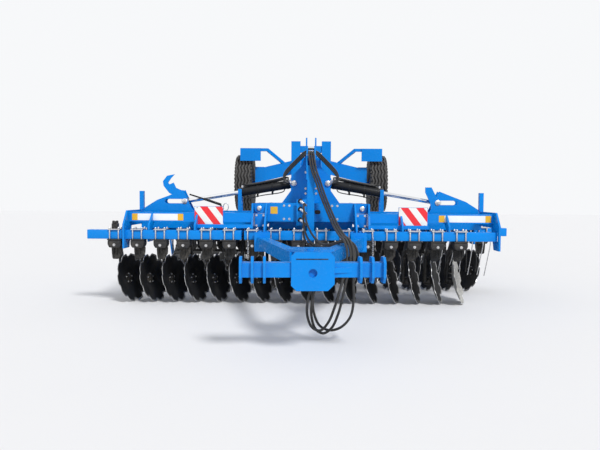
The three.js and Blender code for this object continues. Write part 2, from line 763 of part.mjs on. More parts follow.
function centreFrame() {
  const side = CENTRE_SIDE_X;
  const inner = [-side, side];
  const column = [-40, 40];
  const parts = [
    block(inner, [-120, 80], [PANEL_LOW, PANEL_TOP]),
    block(inner, [MAIN_BEAM_Y - 100, MAIN_BEAM_Y + 100], [MAIN_BEAM_LOW, PANEL_TOP]),
    block(inner, [REAR_BEAM_Y + 10, REAR_BEAM_Y + 110], [PANEL_LOW, PANEL_TOP - 40]),
    block([-BACKBONE_HALF, BACKBONE_HALF], [0, BACKBONE_END], [PANEL_LOW, PANEL_TOP - 20]),
    block(column, [MAST_FRONT, -118], [700, MAST_TOP]),
    block([-42, 42], [HOSE_CLAMP_FRONT, HOSE_CLAMP_FRONT + 50], [1700, 1745]),
    bar(
      [-CHASSIS_ARM_X - 85, AXLE_PIVOT_Y, AXLE_PIVOT_Z],
      [CHASSIS_ARM_X + 85, AXLE_PIVOT_Y, AXLE_PIVOT_Z],
      AXLE_PIN_RADIUS,
      PIN_SIDES,
    ),
    block(
      [-BACKBONE_HALF, BACKBONE_HALF],
      [BACKBONE_END - 60, AXLE_PIVOT_Y + 55],
      [PANEL_LOW, PANEL_TOP - 65],
    ),
  ];
  const channel = [
    [MAST_FRONT, 1400],
    [MAST_FRONT, MAST_TOP],
    [-30, 1780],
    [TOWER_FRONT - GAP, 1780],
    [TOWER_FRONT - GAP, 1400],
  ];
  for (const sign of [-1, 1]) {
    parts.push(sidePlate(channel, ...onSide(sign, ...CHANNEL_X)));
    const x = sign * side;
    parts.push(sidePlate(centreSideOutline(), x - PLATE / 2, x + PLATE / 2));
    parts.push(bearing(x - sign * 5, 40));
    const flange = onSide(sign, 430, 600);
    parts.push(block(flange, [LEG_FRONT, LEG_FRONT + PLATE], [620, 830]));
    const lugOutline = [
      [LIFT_BASE_Y - 90, PANEL_TOP - 40],
      [LIFT_BASE_Y + 60, PANEL_TOP - 40],
      [LIFT_BASE_Y + 30, LIFT_BASE_Z + 30],
      [LIFT_BASE_Y - 45, LIFT_BASE_Z + 45],
    ];
    parts.push(sidePlate(lugOutline, ...onSide(sign, ...LIFT_LUG_X)));
    for (const y of HINGE_STATIONS) {
      parts.push(hingeLug(sign, CENTRE_SIDE_X, y - FORK_OUTER, y - FORK_INNER));
      parts.push(hingeLug(sign, CENTRE_SIDE_X, y + FORK_INNER, y + FORK_OUTER));
      parts.push(hingePin(sign, y));
    }
  }
  const liftPinEnds = [-LIFT_LUG_X[1], LIFT_LUG_X[1]].map((x) => [x, LIFT_BASE_Y, LIFT_BASE_Z]);
  parts.push(bar(...liftPinEnds, LIFT_PIN_RADIUS, PIN_SIDES));
  const holes = [
    beamHole(ROWS.front, -side),
    beamHole(ROWS.rear, side),
    bearingBore(-side),
    bearingBore(side),
    kidneySlot(-130, -45),
    kidneySlot(45, 110),
  ];
  return cut(union(parts), holes);
}

addPiece('centre_frame', centreFrame(), bluePaint);

const centreRollerEnd = CENTRE_SIDE_X - 25 - ROLLER_CLEAR;
addPiece(
  'centre_roller',
  roller(-centreRollerEnd, centreRollerEnd, [-CENTRE_SIDE_X - 14, CENTRE_SIDE_X + 14]),
  rollerPaint,
);

// ---------------------------------------------------------------- tower over the fold cylinders

function tower() {
  const base = PANEL_TOP + GAP;
  const half = [
    [340, base],
    [225, 1300],
    [255, 1370],
    [240, 1430],
    [200, 1480],
    [110, 1570],
    [70, 1700],
  ];
  const outline = [...half, ...half.map(([x, z]) => [-x, z]).reverse()];
  const frontY = [TOWER_FRONT, TOWER_FRONT + TOWER_PLATE];
  const rearY = [MAIN_BEAM_Y + TOWER_INNER, MAIN_BEAM_Y + TOWER_INNER + TOWER_PLATE];
  const parts = [
    frontPlate(outline, ...frontY),
    frontPlate(outline, ...rearY),
    block([-50, 50], [frontY[0], rearY[1]], [1600, 1680]),
    block([-50, 50], [frontY[0], rearY[1]], [base, 1300]),
  ];
  for (const sign of [-1, 1]) {
    const x = sign * FOLD_BASE_X;
    const pinEnds = [[x, frontY[0] - 8, FOLD_BASE_Z], [x, rearY[1] + 8, FOLD_BASE_Z]];
    parts.push(bar(...pinEnds, FOLD_PIN_RADIUS, PIN_SIDES));
  }
  return union(parts);
}

addPiece('tower', tower(), bluePaint);

// ---------------------------------------------------------------- cylinders

const EYE_WALL = 28; // steel around a barrel's pin
const BORE_WALL = 5; // steel between a barrel's eye and its bore
const ROD_EYE_RADIUS = 46;

// barrel along +X from its base pin at the origin; the pin lies along Y
function barrel(radius, length, rodRadius, pinRadius, eyeWidth) {
  const eyeRadius = pinRadius + EYE_WALL;
  const body = union([
    bar([eyeRadius - 12, 0, 0], [length, 0, 0], radius),
    bar([0, -eyeWidth / 2, 0], [0, eyeWidth / 2, 0], eyeRadius),
  ]);
  const boreRadius = (rodRadius + PIN_PLAY) / Math.cos(Math.PI / PIN_SIDES);
  const pinBore = (pinRadius + PIN_PLAY) / Math.cos(Math.PI / PIN_SIDES);
  return cut(body, [
    bar([eyeRadius + BORE_WALL, 0, 0], [length + 10, 0, 0], boreRadius, PIN_SIDES),
    bar([0, -eyeWidth, 0], [0, eyeWidth, 0], pinBore, PIN_SIDES),
  ]);
}

// rod along +X, its eye at the given distance from the base pin
function rod(reach, start, rodRadius, eyeRadius, eyeWidth) {
  return union([
    bar([start, 0, 0], [reach, 0, 0], rodRadius, PIN_SIDES),
    bar([reach, -eyeWidth / 2, 0], [reach, eyeWidth / 2, 0], eyeRadius),
  ]);
}

const foldReach = Math.hypot(FOLD_EYE_X - FOLD_BASE_X, FOLD_BASE_Z - FOLD_EYE_Z);
const foldSlope = Math.atan2(FOLD_BASE_Z - FOLD_EYE_Z, FOLD_EYE_X - FOLD_BASE_X);
const rodStart = FOLD_PIN_RADIUS + EYE_WALL + BORE_WALL + FOLD_STROKE;
const foldBarrel = toGeometry(barrel(
  FOLD_BARREL_RADIUS,
  FOLD_BARREL_LENGTH,
  FOLD_ROD_RADIUS,
  FOLD_PIN_RADIUS,
  FOLD_EYE_WIDTH - 6,
));
const foldRod = toGeometry(rod(foldReach, rodStart, FOLD_ROD_RADIUS, ROD_EYE_RADIUS, FOLD_EYE_WIDTH));

for (const [name, side] of [['left', -1], ['right', 1]]) {
  const cylinder = new THREE.Group();
  cylinder.position.set(side * FOLD_BASE_X, MAIN_BEAM_Y, FOLD_BASE_Z);
  cylinder.rotation.y = side > 0 ? foldSlope : Math.PI - foldSlope;
  const barrelMesh = new THREE.Mesh(foldBarrel, blackPaint);
  barrelMesh.name = `${name}_fold_barrel`;
  const rodMesh = new THREE.Mesh(foldRod, chrome);
  rodMesh.name = `${name}_fold_rod`;
  cylinder.add(barrelMesh, rodMesh);
  machine.add(cylinder);
}

const liftReach = Math.hypot(LIFT_EYE_Y - LIFT_BASE_Y, LIFT_EYE_Z - LIFT_BASE_Z);
const liftSlope = Math.atan2(LIFT_EYE_Z - LIFT_BASE_Z, LIFT_EYE_Y - LIFT_BASE_Y);
const liftBarrel = barrel(LIFT_BARREL_RADIUS, LIFT_BARREL_LENGTH, LIFT_ROD_RADIUS, LIFT_PIN_RADIUS, 92);
const liftRod = rod(liftReach, LIFT_BARREL_LENGTH - 400, LIFT_ROD_RADIUS, 50, 80);
const liftCylinder = new THREE.Group();
liftCylinder.position.set(0, LIFT_BASE_Y, LIFT_BASE_Z);
liftCylinder.rotation.set(liftSlope, 0, Math.PI / 2, 'XYZ');
const liftBarrelMesh = new THREE.Mesh(toGeometry(liftBarrel), blackPaint);
liftBarrelMesh.name = 'lift_barrel';
const liftRodMesh = new THREE.Mesh(toGeometry(liftRod), chrome);
liftRodMesh.name = 'lift_rod';
liftCylinder.add(liftBarrelMesh, liftRodMesh);
machine.add(liftCylinder);

// ---------------------------------------------------------------- transport axle

const CHASSIS_BEAM_Y = 3600;
const AXLE_BOX_X = [810, 965];
const LIGHT_PANEL_X = [858, 1208];
const LIGHT_PANEL_TOP = 2040;
const LIGHT_RAIL = 50; // square tube that holds a light panel

function chassis() {
  const armOutlinePoints = [
    ...arc([AXLE_PIVOT_Y, AXLE_PIVOT_Z], 90, 120, 300, 8),
    [2500, 1130],
    [3660, 1660],
    [3660, 1900],
    [3520, 1930],
    [2680, 1560],
    [2590, 2070],
    [2420, 2070],
    [2400, 1420],
  ];
  const parts = [];
  for (const sign of [-1, 1]) {
    const x = sign * CHASSIS_ARM_X;
    const half = CHASSIS_ARM_WIDTH / 2;
    parts.push(sidePlate(armOutlinePoints, x - half, x + half));
    parts.push(boxTube([0, CHASSIS_BEAM_Y, 1800], [sign * 925, CHASSIS_BEAM_Y, 1578], 140, 230));
    parts.push(block(onSide(sign, ...AXLE_BOX_X), [CHASSIS_BEAM_Y - 70, WHEEL_Y + 90], [1390, 1730]));
    parts.push(bar(
      [sign * (AXLE_BOX_X[1] - 10), WHEEL_Y, WHEEL_Z],
      [sign * (WHEEL_X + 30), WHEEL_Y, WHEEL_Z],
      AXLE_STUB_RADIUS,
      STUB_SIDES,
    ));
    parts.push(block(onSide(sign, ...LIGHT_PANEL_X), [3390, 3410], [1825, LIGHT_PANEL_TOP]));
    const railZ = LIGHT_PANEL_TOP - LIGHT_RAIL / 2;
    const railEnds = [[sign * LIGHT_PANEL_X[1], 3435, railZ], [sign * 740, 3435, railZ]];
    parts.push(boxTube(...railEnds, LIGHT_RAIL, LIGHT_RAIL));
    parts.push(boxTube([sign * 755, 3435, railZ + 5], [sign * 470, 3560, 1790], LIGHT_RAIL, LIGHT_RAIL));
    const cheek = onSide(sign, 46, 170);
    parts.push(block(cheek, [2440, 2560], [1900, 2000]));
  }
  parts.push(block([-CHASSIS_ARM_X, CHASSIS_ARM_X], [3540, 3660], [1680, 1900]));
  const bore = (AXLE_PIN_RADIUS + PIN_PLAY) / Math.cos(Math.PI / PIN_SIDES);
  const pivotEnds = [[-400, AXLE_PIVOT_Y, AXLE_PIVOT_Z], [400, AXLE_PIVOT_Y, AXLE_PIVOT_Z]];
  return cut(union(parts), [bar(...pivotEnds, bore, PIN_SIDES)]);
}

addPiece('transport_axle', chassis(), bluePaint);

// a tyre on its rim, turned about X, with the hub's dish on the inner side
function wheel() {
  const half = WHEEL_WIDTH / 2;
  const bore = (AXLE_STUB_RADIUS + PIN_PLAY) / Math.cos(Math.PI / STUB_SIDES);
  const profile = [
    [bore, -30],
    [90, -30],
    [90, 10],
    [RIM_RADIUS - 12, 10],
    [RIM_RADIUS - 12, -half + 20],
    [RIM_RADIUS + 90, -half],
    [WHEEL_RADIUS - 60, -half + 8],
    [WHEEL_RADIUS, -half + 45],
    [WHEEL_RADIUS, half - 45],
    [WHEEL_RADIUS - 60, half - 8],
    [RIM_RADIUS + 90, half],
    [RIM_RADIUS - 12, half - 20],
    [RIM_RADIUS - 12, 40],
    [bore, 40],
    [bore, -30],
  ];
  const geometry = new THREE.LatheGeometry(profile.map(([r, h]) => new THREE.Vector2(r, h)), STUB_SIDES);
  geometry.rotateZ(-Math.PI / 2);
  return toSolid(geometry);
}

for (const [name, side] of [['left', -1], ['right', 1]]) {
  const shape = side > 0 ? wheel() : mirrorX(wheel());
  const mesh = addPiece(`${name}_wheel`, shape, tyreRubber);
  mesh.position.set(side * WHEEL_X, WHEEL_Y, WHEEL_Z);
}

// ---------------------------------------------------------------- drawbar and hitch

function drawbar() {
  const rear = LEG_FRONT - GAP;
  const nose = SWIVEL_Y + 150;
  const parts = [];
  for (const sign of [-1, 1]) {
    const flange = onSide(sign, 430, 600);
    parts.push(block(flange, [rear - PLATE, rear], [630, 820]));
    const tubeRear = [sign * 515, rear - 16, DRAWBAR_Z];
    const tubeNose = [sign * 110, nose - 60, DRAWBAR_Z];
    parts.push(boxTube(tubeRear, tubeNose, DRAWBAR_TUBE, DRAWBAR_TUBE));
  }
  for (const z of [DRAWBAR_Z + 55, DRAWBAR_Z - 75]) {
    const outline = [
      [-190, nose + 160],
      [-190, nose - 20],
      [-75, SWIVEL_Y - 10],
      ...arc([0, SWIVEL_Y], 75, 200, 340, 6),
      [75, SWIVEL_Y - 10],
      [190, nose - 20],
      [190, nose + 160],
    ];
    parts.push(flatPlate(outline, z, z + 20));
  }
  parts.push(block([-150, 150], [nose - 20, nose + 80], [DRAWBAR_Z - 70, DRAWBAR_Z + 60]));
  parts.push(bar([0, SWIVEL_Y, DRAWBAR_Z - 90], [0, SWIVEL_Y, DRAWBAR_Z + 90], SWIVEL_RADIUS, PIN_SIDES));
  return union(parts);
}

addPiece('drawbar', drawbar(), bluePaint);

// the crossbar that the tractor's lower links carry, drawn about the swivel pin
function hitchCrossbar() {
  const front = -HITCH_FORWARD;
  const half = HITCH_TUBE / 2;
  const low = DRAWBAR_Z - SWIVEL_LUG;
  const high = DRAWBAR_Z + SWIVEL_LUG;
  const head = [
    [-159, HITCH_Z - 110],
    [-120, HITCH_Z - 150],
    [110, HITCH_Z - 150],
    [159, HITCH_Z - 100],
    [159, HITCH_Z + 100],
    [120, HITCH_Z + 135],
    [-130, HITCH_Z + 135],
    [-159, HITCH_Z + 100],
  ];
  const gusset = [
    [100, front - 75],
    [290, front - half],
    [290, front + half],
    [100, front + 75],
  ];
  const cheekPlate = [
    [front - 55, HITCH_Z - 96],
    [front + 25, HITCH_Z - 96],
    [front + 60, HITCH_Z - 55],
    [front + 60, HITCH_Z + 55],
    [front + 25, HITCH_Z + 96],
    [front - 55, HITCH_Z + 96],
    [front - 90, HITCH_Z + 55],
    [front - 90, HITCH_Z - 55],
  ];
  const parts = [
    frontPlate(head, front - 75, front - 55),
    block([-HITCH_REACH, HITCH_REACH], [front - half, front + half], [HITCH_Z - half, HITCH_Z + half]),
    block([-110, 110], [front - 60, front + 70], [HITCH_Z - 100, HITCH_Z + 95]),
    block([-60, 60], [front + 40, -20], [low, high]),
    bar([0, 0, low], [0, 0, high], 60),
    flatPlate(gusset, HITCH_Z - 20, HITCH_Z + 20),
  ];
  for (const sign of [-1, 1]) {
    for (const reach of [HITCH_REACH - 173, HITCH_REACH - 85, HITCH_REACH]) {
      parts.push(sidePlate(cheekPlate, sign * reach - 10, sign * reach + 10));
    }
  }
  const bore = (SWIVEL_RADIUS + PIN_PLAY) / Math.cos(Math.PI / PIN_SIDES);
  return cut(union(parts), [
    bar([0, 0, low - 10], [0, 0, high + 10], bore, PIN_SIDES),
    bar([0, front - 90, HITCH_Z - 20], [0, front - 40, HITCH_Z - 20], 32),
  ]);
}

const crossbar = addPiece('hitch_crossbar', hitchCrossbar(), bluePaint);
crossbar.position.set(0, SWIVEL_Y, 0);
crossbar.rotation.z = HITCH_YAW * DEGREE;

// ---------------------------------------------------------------- origin

// the object's origin is the middle of its box on the ground
const extent = new THREE.Box3().setFromObject(machine, true);
machine.position.set(-(extent.min.x + extent.max.x) / 2, -(extent.min.y + extent.max.y) / 2, 0);

// ---------------------------------------------------------------- hoses

const COUPLER_HEIGHTS = [1150, 1060, 940];
const COUPLER_NOSE = [-75, -290]; // X and Y of the end that the hose leaves
const COUPLER_DROP = 15;

function hoseHolder() {
  const parts = [block([-160, -40 - GAP], [-190, -180], [880, 1185])];
  for (const z of COUPLER_HEIGHTS) {
    parts.push(bar([-125, -182, z + 20], [...COUPLER_NOSE, z - COUPLER_DROP], 15));
  }
  return union(parts);
}

addPiece('hose_holder', hoseHolder(), couplerZinc);

// the run that the three hoses share, from the clamp on the mast to behind the crossbar
const SHARED_RUN = [
  [0, -60, 1722],
  [3, -130, 1694],
  [12, -205, 1620],
  [35, -245, 1500],
  [75, -258, 1390],
  [130, -268, 1230],
  [190, -295, 1085],
  [235, -420, 975],
  [265, -650, 905],
  [285, -900, 868],
  [295, -1150, 850],
  [302, -1400, 842],
  [322, -1600, 826],
  [342, -1745, 745],
];

const HOSE_ROUTES = [
  [
    [364, -1830, 620],
    [362, -1870, 480],
    [364, -1885, 340],
    [336, -1890, 205],
    [255, -1893, 118],
    [160, -1893, 95],
    [80, -1890, 135],
    [34, -1885, 235],
    [20, -1875, 360],
    [30, -1845, 470],
    [80, -1800, 555],
    [165, -1760, 595],
    [260, -1720, 610],
    [340, -1660, 660],
    [362, -1580, 740],
    [330, -1490, 796],
    [255, -1400, 797],
    [190, -1280, 770],
    [130, -1100, 752],
    [70, -850, 770],
    [10, -620, 830],
    [-40, -470, 930],
    [-70, -390, 1050],
    [-76, -345, 1110],
  ],
  [
    [334, -1830, 630],
    [300, -1880, 500],
    [270, -1912, 370],
    [232, -1920, 230],
    [180, -1924, 120],
    [112, -1924, 75],
    [48, -1922, 110],
    [14, -1918, 210],
    [16, -1908, 330],
    [50, -1885, 450],
    [120, -1840, 545],
    [210, -1790, 590],
    [310, -1735, 600],
    [380, -1660, 650],
    [392, -1560, 735],
    [350, -1455, 800],
    [270, -1350, 798],
    [190, -1220, 742],
    [110, -1020, 722],
    [40, -800, 725],
    [-20, -600, 765],
    [-62, -460, 850],
    [-78, -385, 950],
    [-76, -345, 1015],
  ],
  [
    [302, -1840, 640],
    [276, -1905, 545],
    [240, -1945, 420],
    [200, -1955, 290],
    [150, -1956, 170],
    [85, -1956, 105],
    [20, -1955, 130],
    [-20, -1952, 220],
    [-20, -1940, 340],
    [20, -1915, 455],
    [100, -1885, 500],
    [200, -1830, 530],
    [320, -1760, 560],
    [408, -1670, 610],
    [424, -1560, 700],
    [385, -1430, 790],
    [300, -1310, 808],
    [222, -1180, 752],
    [120, -980, 692],
    [50, -780, 685],
    [-15, -590, 705],
    [-58, -500, 750],
    [-76, -445, 815],
    [-76, -345, 900],
  ],
];
const HOSE_SPREAD = 26; // between neighbouring hoses in the shared run

function hosePath(index) {
  const shift = (1 - index) * HOSE_SPREAD;
  const clampPoint = [shift, HOSE_CLAMP_FRONT - GAP, 1722];
  const noseZ = COUPLER_HEIGHTS[index] - COUPLER_DROP;
  const coupler = new THREE.Vector3(50, -108, -35).normalize(); // the way a coupler points
  const nose = new THREE.Vector3(...COUPLER_NOSE, noseZ).addScaledVector(coupler, 3 * GAP);
  const lead = nose.clone().addScaledVector(coupler, 40);
  const run = SHARED_RUN.map(([x, y, z]) => [x + shift, y, z]);
  const points = [clampPoint, ...run, ...HOSE_ROUTES[index]].map((point) => new THREE.Vector3(...point));
  return new THREE.CatmullRomCurve3([...points, lead, nose], false, 'centripetal');
}

const HOSE_SIDES = 8;
const HOSE_STEP = 72;

HOSE_ROUTES.forEach((route, index) => {
  const path = hosePath(index);
  const section = outlineShape(arc([0, 0], HOSE_RADIUS, 0, 360 * (1 - 1 / HOSE_SIDES), HOSE_SIDES - 1));
  const steps = Math.round(path.getLength() / HOSE_STEP);
  const geometry = new THREE.ExtrudeGeometry(section, { steps, extrudePath: path, bevelEnabled: false });
  addPiece(`hose_${index + 1}`, toSolid(geometry), hoseRubber);
});

export default machine;
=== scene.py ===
# %% [markdown]
# # A folding disc harrow
#
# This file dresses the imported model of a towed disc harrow: two rows of notched discs under a
# blue frame in three parts, a cage roller behind each part, and a transport axle swung up
# behind. The frame of plain solids comes first, ready made. Everything here is either a better
# finish for one of those solids, a finer piece that stands in for one, or a small part such as
# a bolt, a hose or a lamp that rides on one of its bodies.

# %% Load the plain model
import json
import math

import bmesh
import bpy
import numpy as np
from mathutils import Matrix, Vector


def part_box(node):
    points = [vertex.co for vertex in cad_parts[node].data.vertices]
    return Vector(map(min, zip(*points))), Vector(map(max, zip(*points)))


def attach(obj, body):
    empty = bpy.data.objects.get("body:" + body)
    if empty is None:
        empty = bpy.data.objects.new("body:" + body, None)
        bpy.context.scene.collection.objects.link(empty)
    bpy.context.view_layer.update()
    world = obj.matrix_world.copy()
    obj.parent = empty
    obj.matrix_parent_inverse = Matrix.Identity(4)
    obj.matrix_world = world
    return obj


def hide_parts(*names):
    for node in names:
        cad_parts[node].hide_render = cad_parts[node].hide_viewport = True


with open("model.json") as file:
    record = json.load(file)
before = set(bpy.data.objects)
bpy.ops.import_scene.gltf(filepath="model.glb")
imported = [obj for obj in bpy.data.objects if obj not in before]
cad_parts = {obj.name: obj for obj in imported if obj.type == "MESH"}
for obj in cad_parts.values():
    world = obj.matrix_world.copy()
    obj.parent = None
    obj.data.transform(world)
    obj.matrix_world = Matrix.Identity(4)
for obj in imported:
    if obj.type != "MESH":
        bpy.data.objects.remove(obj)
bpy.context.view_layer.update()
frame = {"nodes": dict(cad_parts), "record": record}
nodes = frame["nodes"]

# %% [markdown]
# The harrow was drawn in millimetres from the front row of discs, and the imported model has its
# origin in the middle of its box. One helper turns the drawing's figures into places in the
# scene, so that every number below can be read straight off the drawing.

# %% Places on the drawing
low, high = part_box("left_wheel")
WHEEL_Y = 3830
SHIFT = (low.y + high.y) / 2 - WHEEL_Y / 1000


def at(x, y, z):
    """A point of the drawing, in millimetres, as a place in the scene, in metres."""
    return Vector((x / 1000, y / 1000 + SHIFT, z / 1000))


# %% [markdown]
# The camera stands at chest height seven metres ahead of the discs. It is turned a degree to
# the left, tipped a little down, and held very slightly askew, as a camera in the hand is.

# %% Camera
EYE = at(0, -6870, 1200)
TURN, DIP, ROLL = math.radians(1.01), math.radians(2.6), math.radians(0.38)
camera_data = bpy.data.cameras.new("camera")
camera_data.lens = 36
camera_data.sensor_width = 36
camera = bpy.data.objects.new("camera", camera_data)
camera.matrix_world = (
    Matrix.Translation(EYE)
    @ Matrix.Rotation(TURN, 4, "Z")
    @ Matrix.Rotation(math.pi / 2 - DIP, 4, "X")
    @ Matrix.Rotation(ROLL, 4, "Z")
)
bpy.context.scene.collection.objects.link(camera)
bpy.context.scene.camera = camera
bpy.context.scene.view_settings.view_transform = "Standard"

# %% [markdown]
# ## A small language for nodes
#
# Finishes and repeated parts are both made of nodes, and wiring them one by one hides the idea
# behind the wires. This class wraps one socket. Sums on it add the Math nodes that work them
# out, so a pattern can be written as the formula that it is.

# %% Sums on sockets
class Flow:
    """A value that flows through a node tree; adding or multiplying it adds a Math node."""

    def __init__(self, tree, socket):
        self.tree, self.socket = tree, socket

    def sum(self, operation, *others):
        values = dict(enumerate((self, *others)))
        return add_node(self.tree, "ShaderNodeMath", {"operation": operation}, values)

    def __add__(self, other):
        return self.sum("ADD", other)

    __radd__ = __add__

    def __mul__(self, other):
        return self.sum("MULTIPLY", other)

    __rmul__ = __mul__

    def __sub__(self, other):
        return self.sum("SUBTRACT", other)

    def __rsub__(self, other):
        return add_node(self.tree, "ShaderNodeMath", {"operation": "SUBTRACT"}, {0: other, 1: self})

    def __truediv__(self, other):
        return self.sum("DIVIDE", other)

    def over(self, edge):
        """1 where the value is above the edge, 0 elsewhere."""
        return self.sum("GREATER_THAN", edge)

    def ease(self, start, end):
        """Rises smoothly from 0 at start to 1 at end."""
        return add_node(
            self.tree,
            "ShaderNodeMapRange",
            {"interpolation_type": "SMOOTHSTEP"},
            {"Value": self, "From Min": start, "From Max": end},
        )


def add_node(tree, kind, settings=None, inputs=None, output=0):
    """Adds one node, sets it, fills or links its sockets, and gives back one of its outputs."""
    node = tree.nodes.new(kind)
    for name, value in (settings or {}).items():
        setattr(node, name, value)
    for name, value in (inputs or {}).items():
        if isinstance(value, Flow):
            tree.links.new(value.socket, node.inputs[name])
        else:
            node.inputs[name].default_value = value
    return Flow(tree, node.outputs[output]) if len(node.outputs) else None


# %% [markdown]
# A finish is a Principled shader. What is the same all over is set on its own sockets, and only
# what changes over the surface is linked. Three helpers cover most of what paint, rubber and
# steel need: cloudy noise, a blend of two colours, and a fine relief.

# %% Finish helper
class Finish:
    """A material with one Principled shader, and the few patterns that the finishes share."""

    def __init__(self, name, colour, **same_all_over):
        self.material = bpy.data.materials.new(name)
        self.material.use_nodes = True
        self.tree = self.material.node_tree
        self.shader = next(n for n in self.tree.nodes if n.type == "BSDF_PRINCIPLED")
        self.shader.inputs["Base Color"].default_value = (*colour, 1)
        self.material.diffuse_color = (*colour, 1)
        for socket, value in same_all_over.items():
            self.shader.inputs[socket.replace("_", " ")].default_value = value
        self.place = self.node("ShaderNodeTexCoord", output="Object")

    def node(self, kind, settings=None, inputs=None, output=0):
        return add_node(self.tree, kind, settings, inputs, output)

    def noise(self, scale, detail=3.0, roughness=0.55):
        sizes = {"Vector": self.place, "Scale": scale, "Detail": detail, "Roughness": roughness}
        return self.node("ShaderNodeTexNoise", inputs=sizes)

    def blend(self, share, first, second):
        """A mix of two colours, each a flow or three numbers."""
        colours = [end if isinstance(end, Flow) else (*end, 1) for end in (first, second)]
        return self.node("ShaderNodeMix", {"data_type": "RGBA"}, {0: share, 6: colours[0], 7: colours[1]}, output=2)

    def axis(self, name):
        return self.node("ShaderNodeSeparateXYZ", inputs={0: self.place}, output=name)

    def edges(self, radius):
        """The rounded normal of a sharp edge, and how far each place is turned towards it."""
        rounded = self.node("ShaderNodeBevel", {"samples": 4}, {"Radius": radius})
        true = self.node("ShaderNodeNewGeometry", output="True Normal")
        both = {0: rounded, 1: true}
        agree = self.node("ShaderNodeVectorMath", {"operation": "DOT_PRODUCT"}, both, output="Value")
        return rounded, (1 - agree).ease(0.01, 0.2)

    def relief(self, height, depth, normal=None):
        links = {"Height": height, "Distance": depth}
        if normal is not None:
            links["Normal"] = normal
        return self.node("ShaderNodeBump", inputs=links)

    def link(self, **links):
        for socket, value in links.items():
            self.tree.links.new(value.socket, self.shader.inputs[socket.replace("_", " ")])
        return self.material


# %% [markdown]
# ## Finishes
#
# The frame wears a thick glossy blue enamel. Up close it has an orange-peel skin, it is duller
# where dust has settled low down, and it is chipped to a darker edge where metal meets the
# world. The edge mask compares the true normal with a rounded one, which works on any solid
# without touching its mesh, and the rounded normal also softens the solids' sharp corners.

# %% Blue enamel and black paint
DUST = (0.30, 0.27, 0.22)


def enamel(name, colour, shade, chip, roughness, dust):
    """Glossy paint over steel: cloudy tone, orange peel, dust near the ground and worn edges."""
    finish = Finish(name, colour, Coat_Weight=0.1, Coat_Roughness=0.12, Specular_IOR_Level=0.14)
    cloud = finish.noise(2.3, 4.0)
    grain = finish.noise(38.0, 4.0, 0.7)
    peel = finish.noise(420.0, 1.0)
    rounded, edge = finish.edges(0.004)
    height = finish.axis("Z")
    tone = finish.blend(cloud.ease(0.3, 0.75) * 0.5, colour, shade)
    dusty = (cloud * 0.6 + grain * 0.5).ease(0.45, 0.85) * (1 - height.ease(0.2, 1.3)) * dust
    dirty = finish.blend(dusty, tone, DUST)
    chipped = edge * (grain + cloud * 0.4).ease(0.58, 0.8) * 0.8
    worn = finish.blend(chipped, dirty, chip)
    return finish.link(
        Base_Color=worn,
        Roughness=roughness + grain * 0.12 + dusty * 0.35 + chipped * 0.15,
        Normal=finish.relief(peel * 0.6 + grain * 0.4 - chipped, 0.0006, rounded),
    )


blue_enamel = enamel(
    "blue_enamel", (0.0, 0.225, 0.70), (0.0, 0.18, 0.58), (0.05, 0.06, 0.08), roughness=0.2, dust=0.08)
black_paint = enamel(
    "black_paint", (0.012, 0.013, 0.015), (0.022, 0.022, 0.024), (0.12, 0.11, 0.1), roughness=0.3, dust=0.5)
roller_paint = enamel(
    "roller_paint", (0.018, 0.019, 0.021), (0.03, 0.03, 0.03), (0.10, 0.09, 0.08), roughness=0.4, dust=0.12)
print("paints:", blue_enamel.name, black_paint.name, roller_paint.name)

# %% [markdown]
# Bright parts come in three kinds: chromed rods, which are nearly mirrors, zinc-plated bolts,
# which are satin with a faint cloudy spangle, and plain steel worn bright by the soil. All are
# metals, so only the roughness and a slight tone tell them apart.

# %% Bright metals
chrome = Finish("chrome_rod", (0.78, 0.79, 0.8), Metallic=1.0)
streak = chrome.noise(90.0, 2.0)
chrome.link(Roughness=0.07 + streak * 0.1)

zinc = Finish("zinc_plate", (0.62, 0.63, 0.64), Metallic=1.0)
spangle = zinc.noise(60.0, 3.0, 0.6)
zinc_colour = zinc.blend(spangle.ease(0.35, 0.7), (0.5, 0.5, 0.52), (0.74, 0.74, 0.72))
zinc.link(Base_Color=zinc_colour, Roughness=0.24 + spangle * 0.25, Normal=zinc.relief(spangle, 0.0004))
print("bright metals:", chrome.material.name, zinc.material.name)

# %% [markdown]
# A disc leaves the factory black. The soil polishes its rim first, so a ring of bright steel
# grows inwards from the teeth with a ragged inner edge, and a film of dry earth stays on the
# bowl. Each disc carries its own radius as an attribute, because a pattern in plain space
# could not follow thirty-two tilted bowls.

# %% Disc steel
disc_steel = Finish("disc_steel", (0.02, 0.02, 0.022), Specular_IOR_Level=0.25)
ring = disc_steel.node("ShaderNodeAttribute", {"attribute_name": "reach"}, output="Fac")
patches = disc_steel.noise(9.0, 4.0, 0.6)
scratches = disc_steel.noise(130.0, 3.0, 0.7)
bright = (ring + patches * 0.12 + scratches * 0.05).ease(1.01, 1.06)
film = (patches + scratches * 0.3).ease(0.55, 0.95) * 0.4
painted = disc_steel.blend(film, (0.010, 0.011, 0.013), (0.05, 0.046, 0.04))
disc_colour = disc_steel.blend(bright, painted, (0.50, 0.50, 0.50))
disc_steel.link(
    Base_Color=disc_colour,
    Metallic=bright,
    Roughness=0.34 + film * 0.5 - bright * 0.06 + scratches * 0.08,
    Normal=disc_steel.relief(scratches, 0.0005),
)

# One disc is a bare replacement: dull grey steel all over, without the black paint.
bare_steel = Finish("bare_steel", (0.42, 0.42, 0.41), Metallic=0.25)
grind = bare_steel.noise(60.0, 4.0, 0.7)
bare_steel.link(
    Base_Color=bare_steel.blend(grind.ease(0.3, 0.7), (0.30, 0.30, 0.29), (0.55, 0.54, 0.50)),
    Roughness=0.45 + grind * 0.2,
    Normal=bare_steel.relief(grind, 0.0006),
)
print("disc finishes:", disc_steel.material.name, bare_steel.material.name)

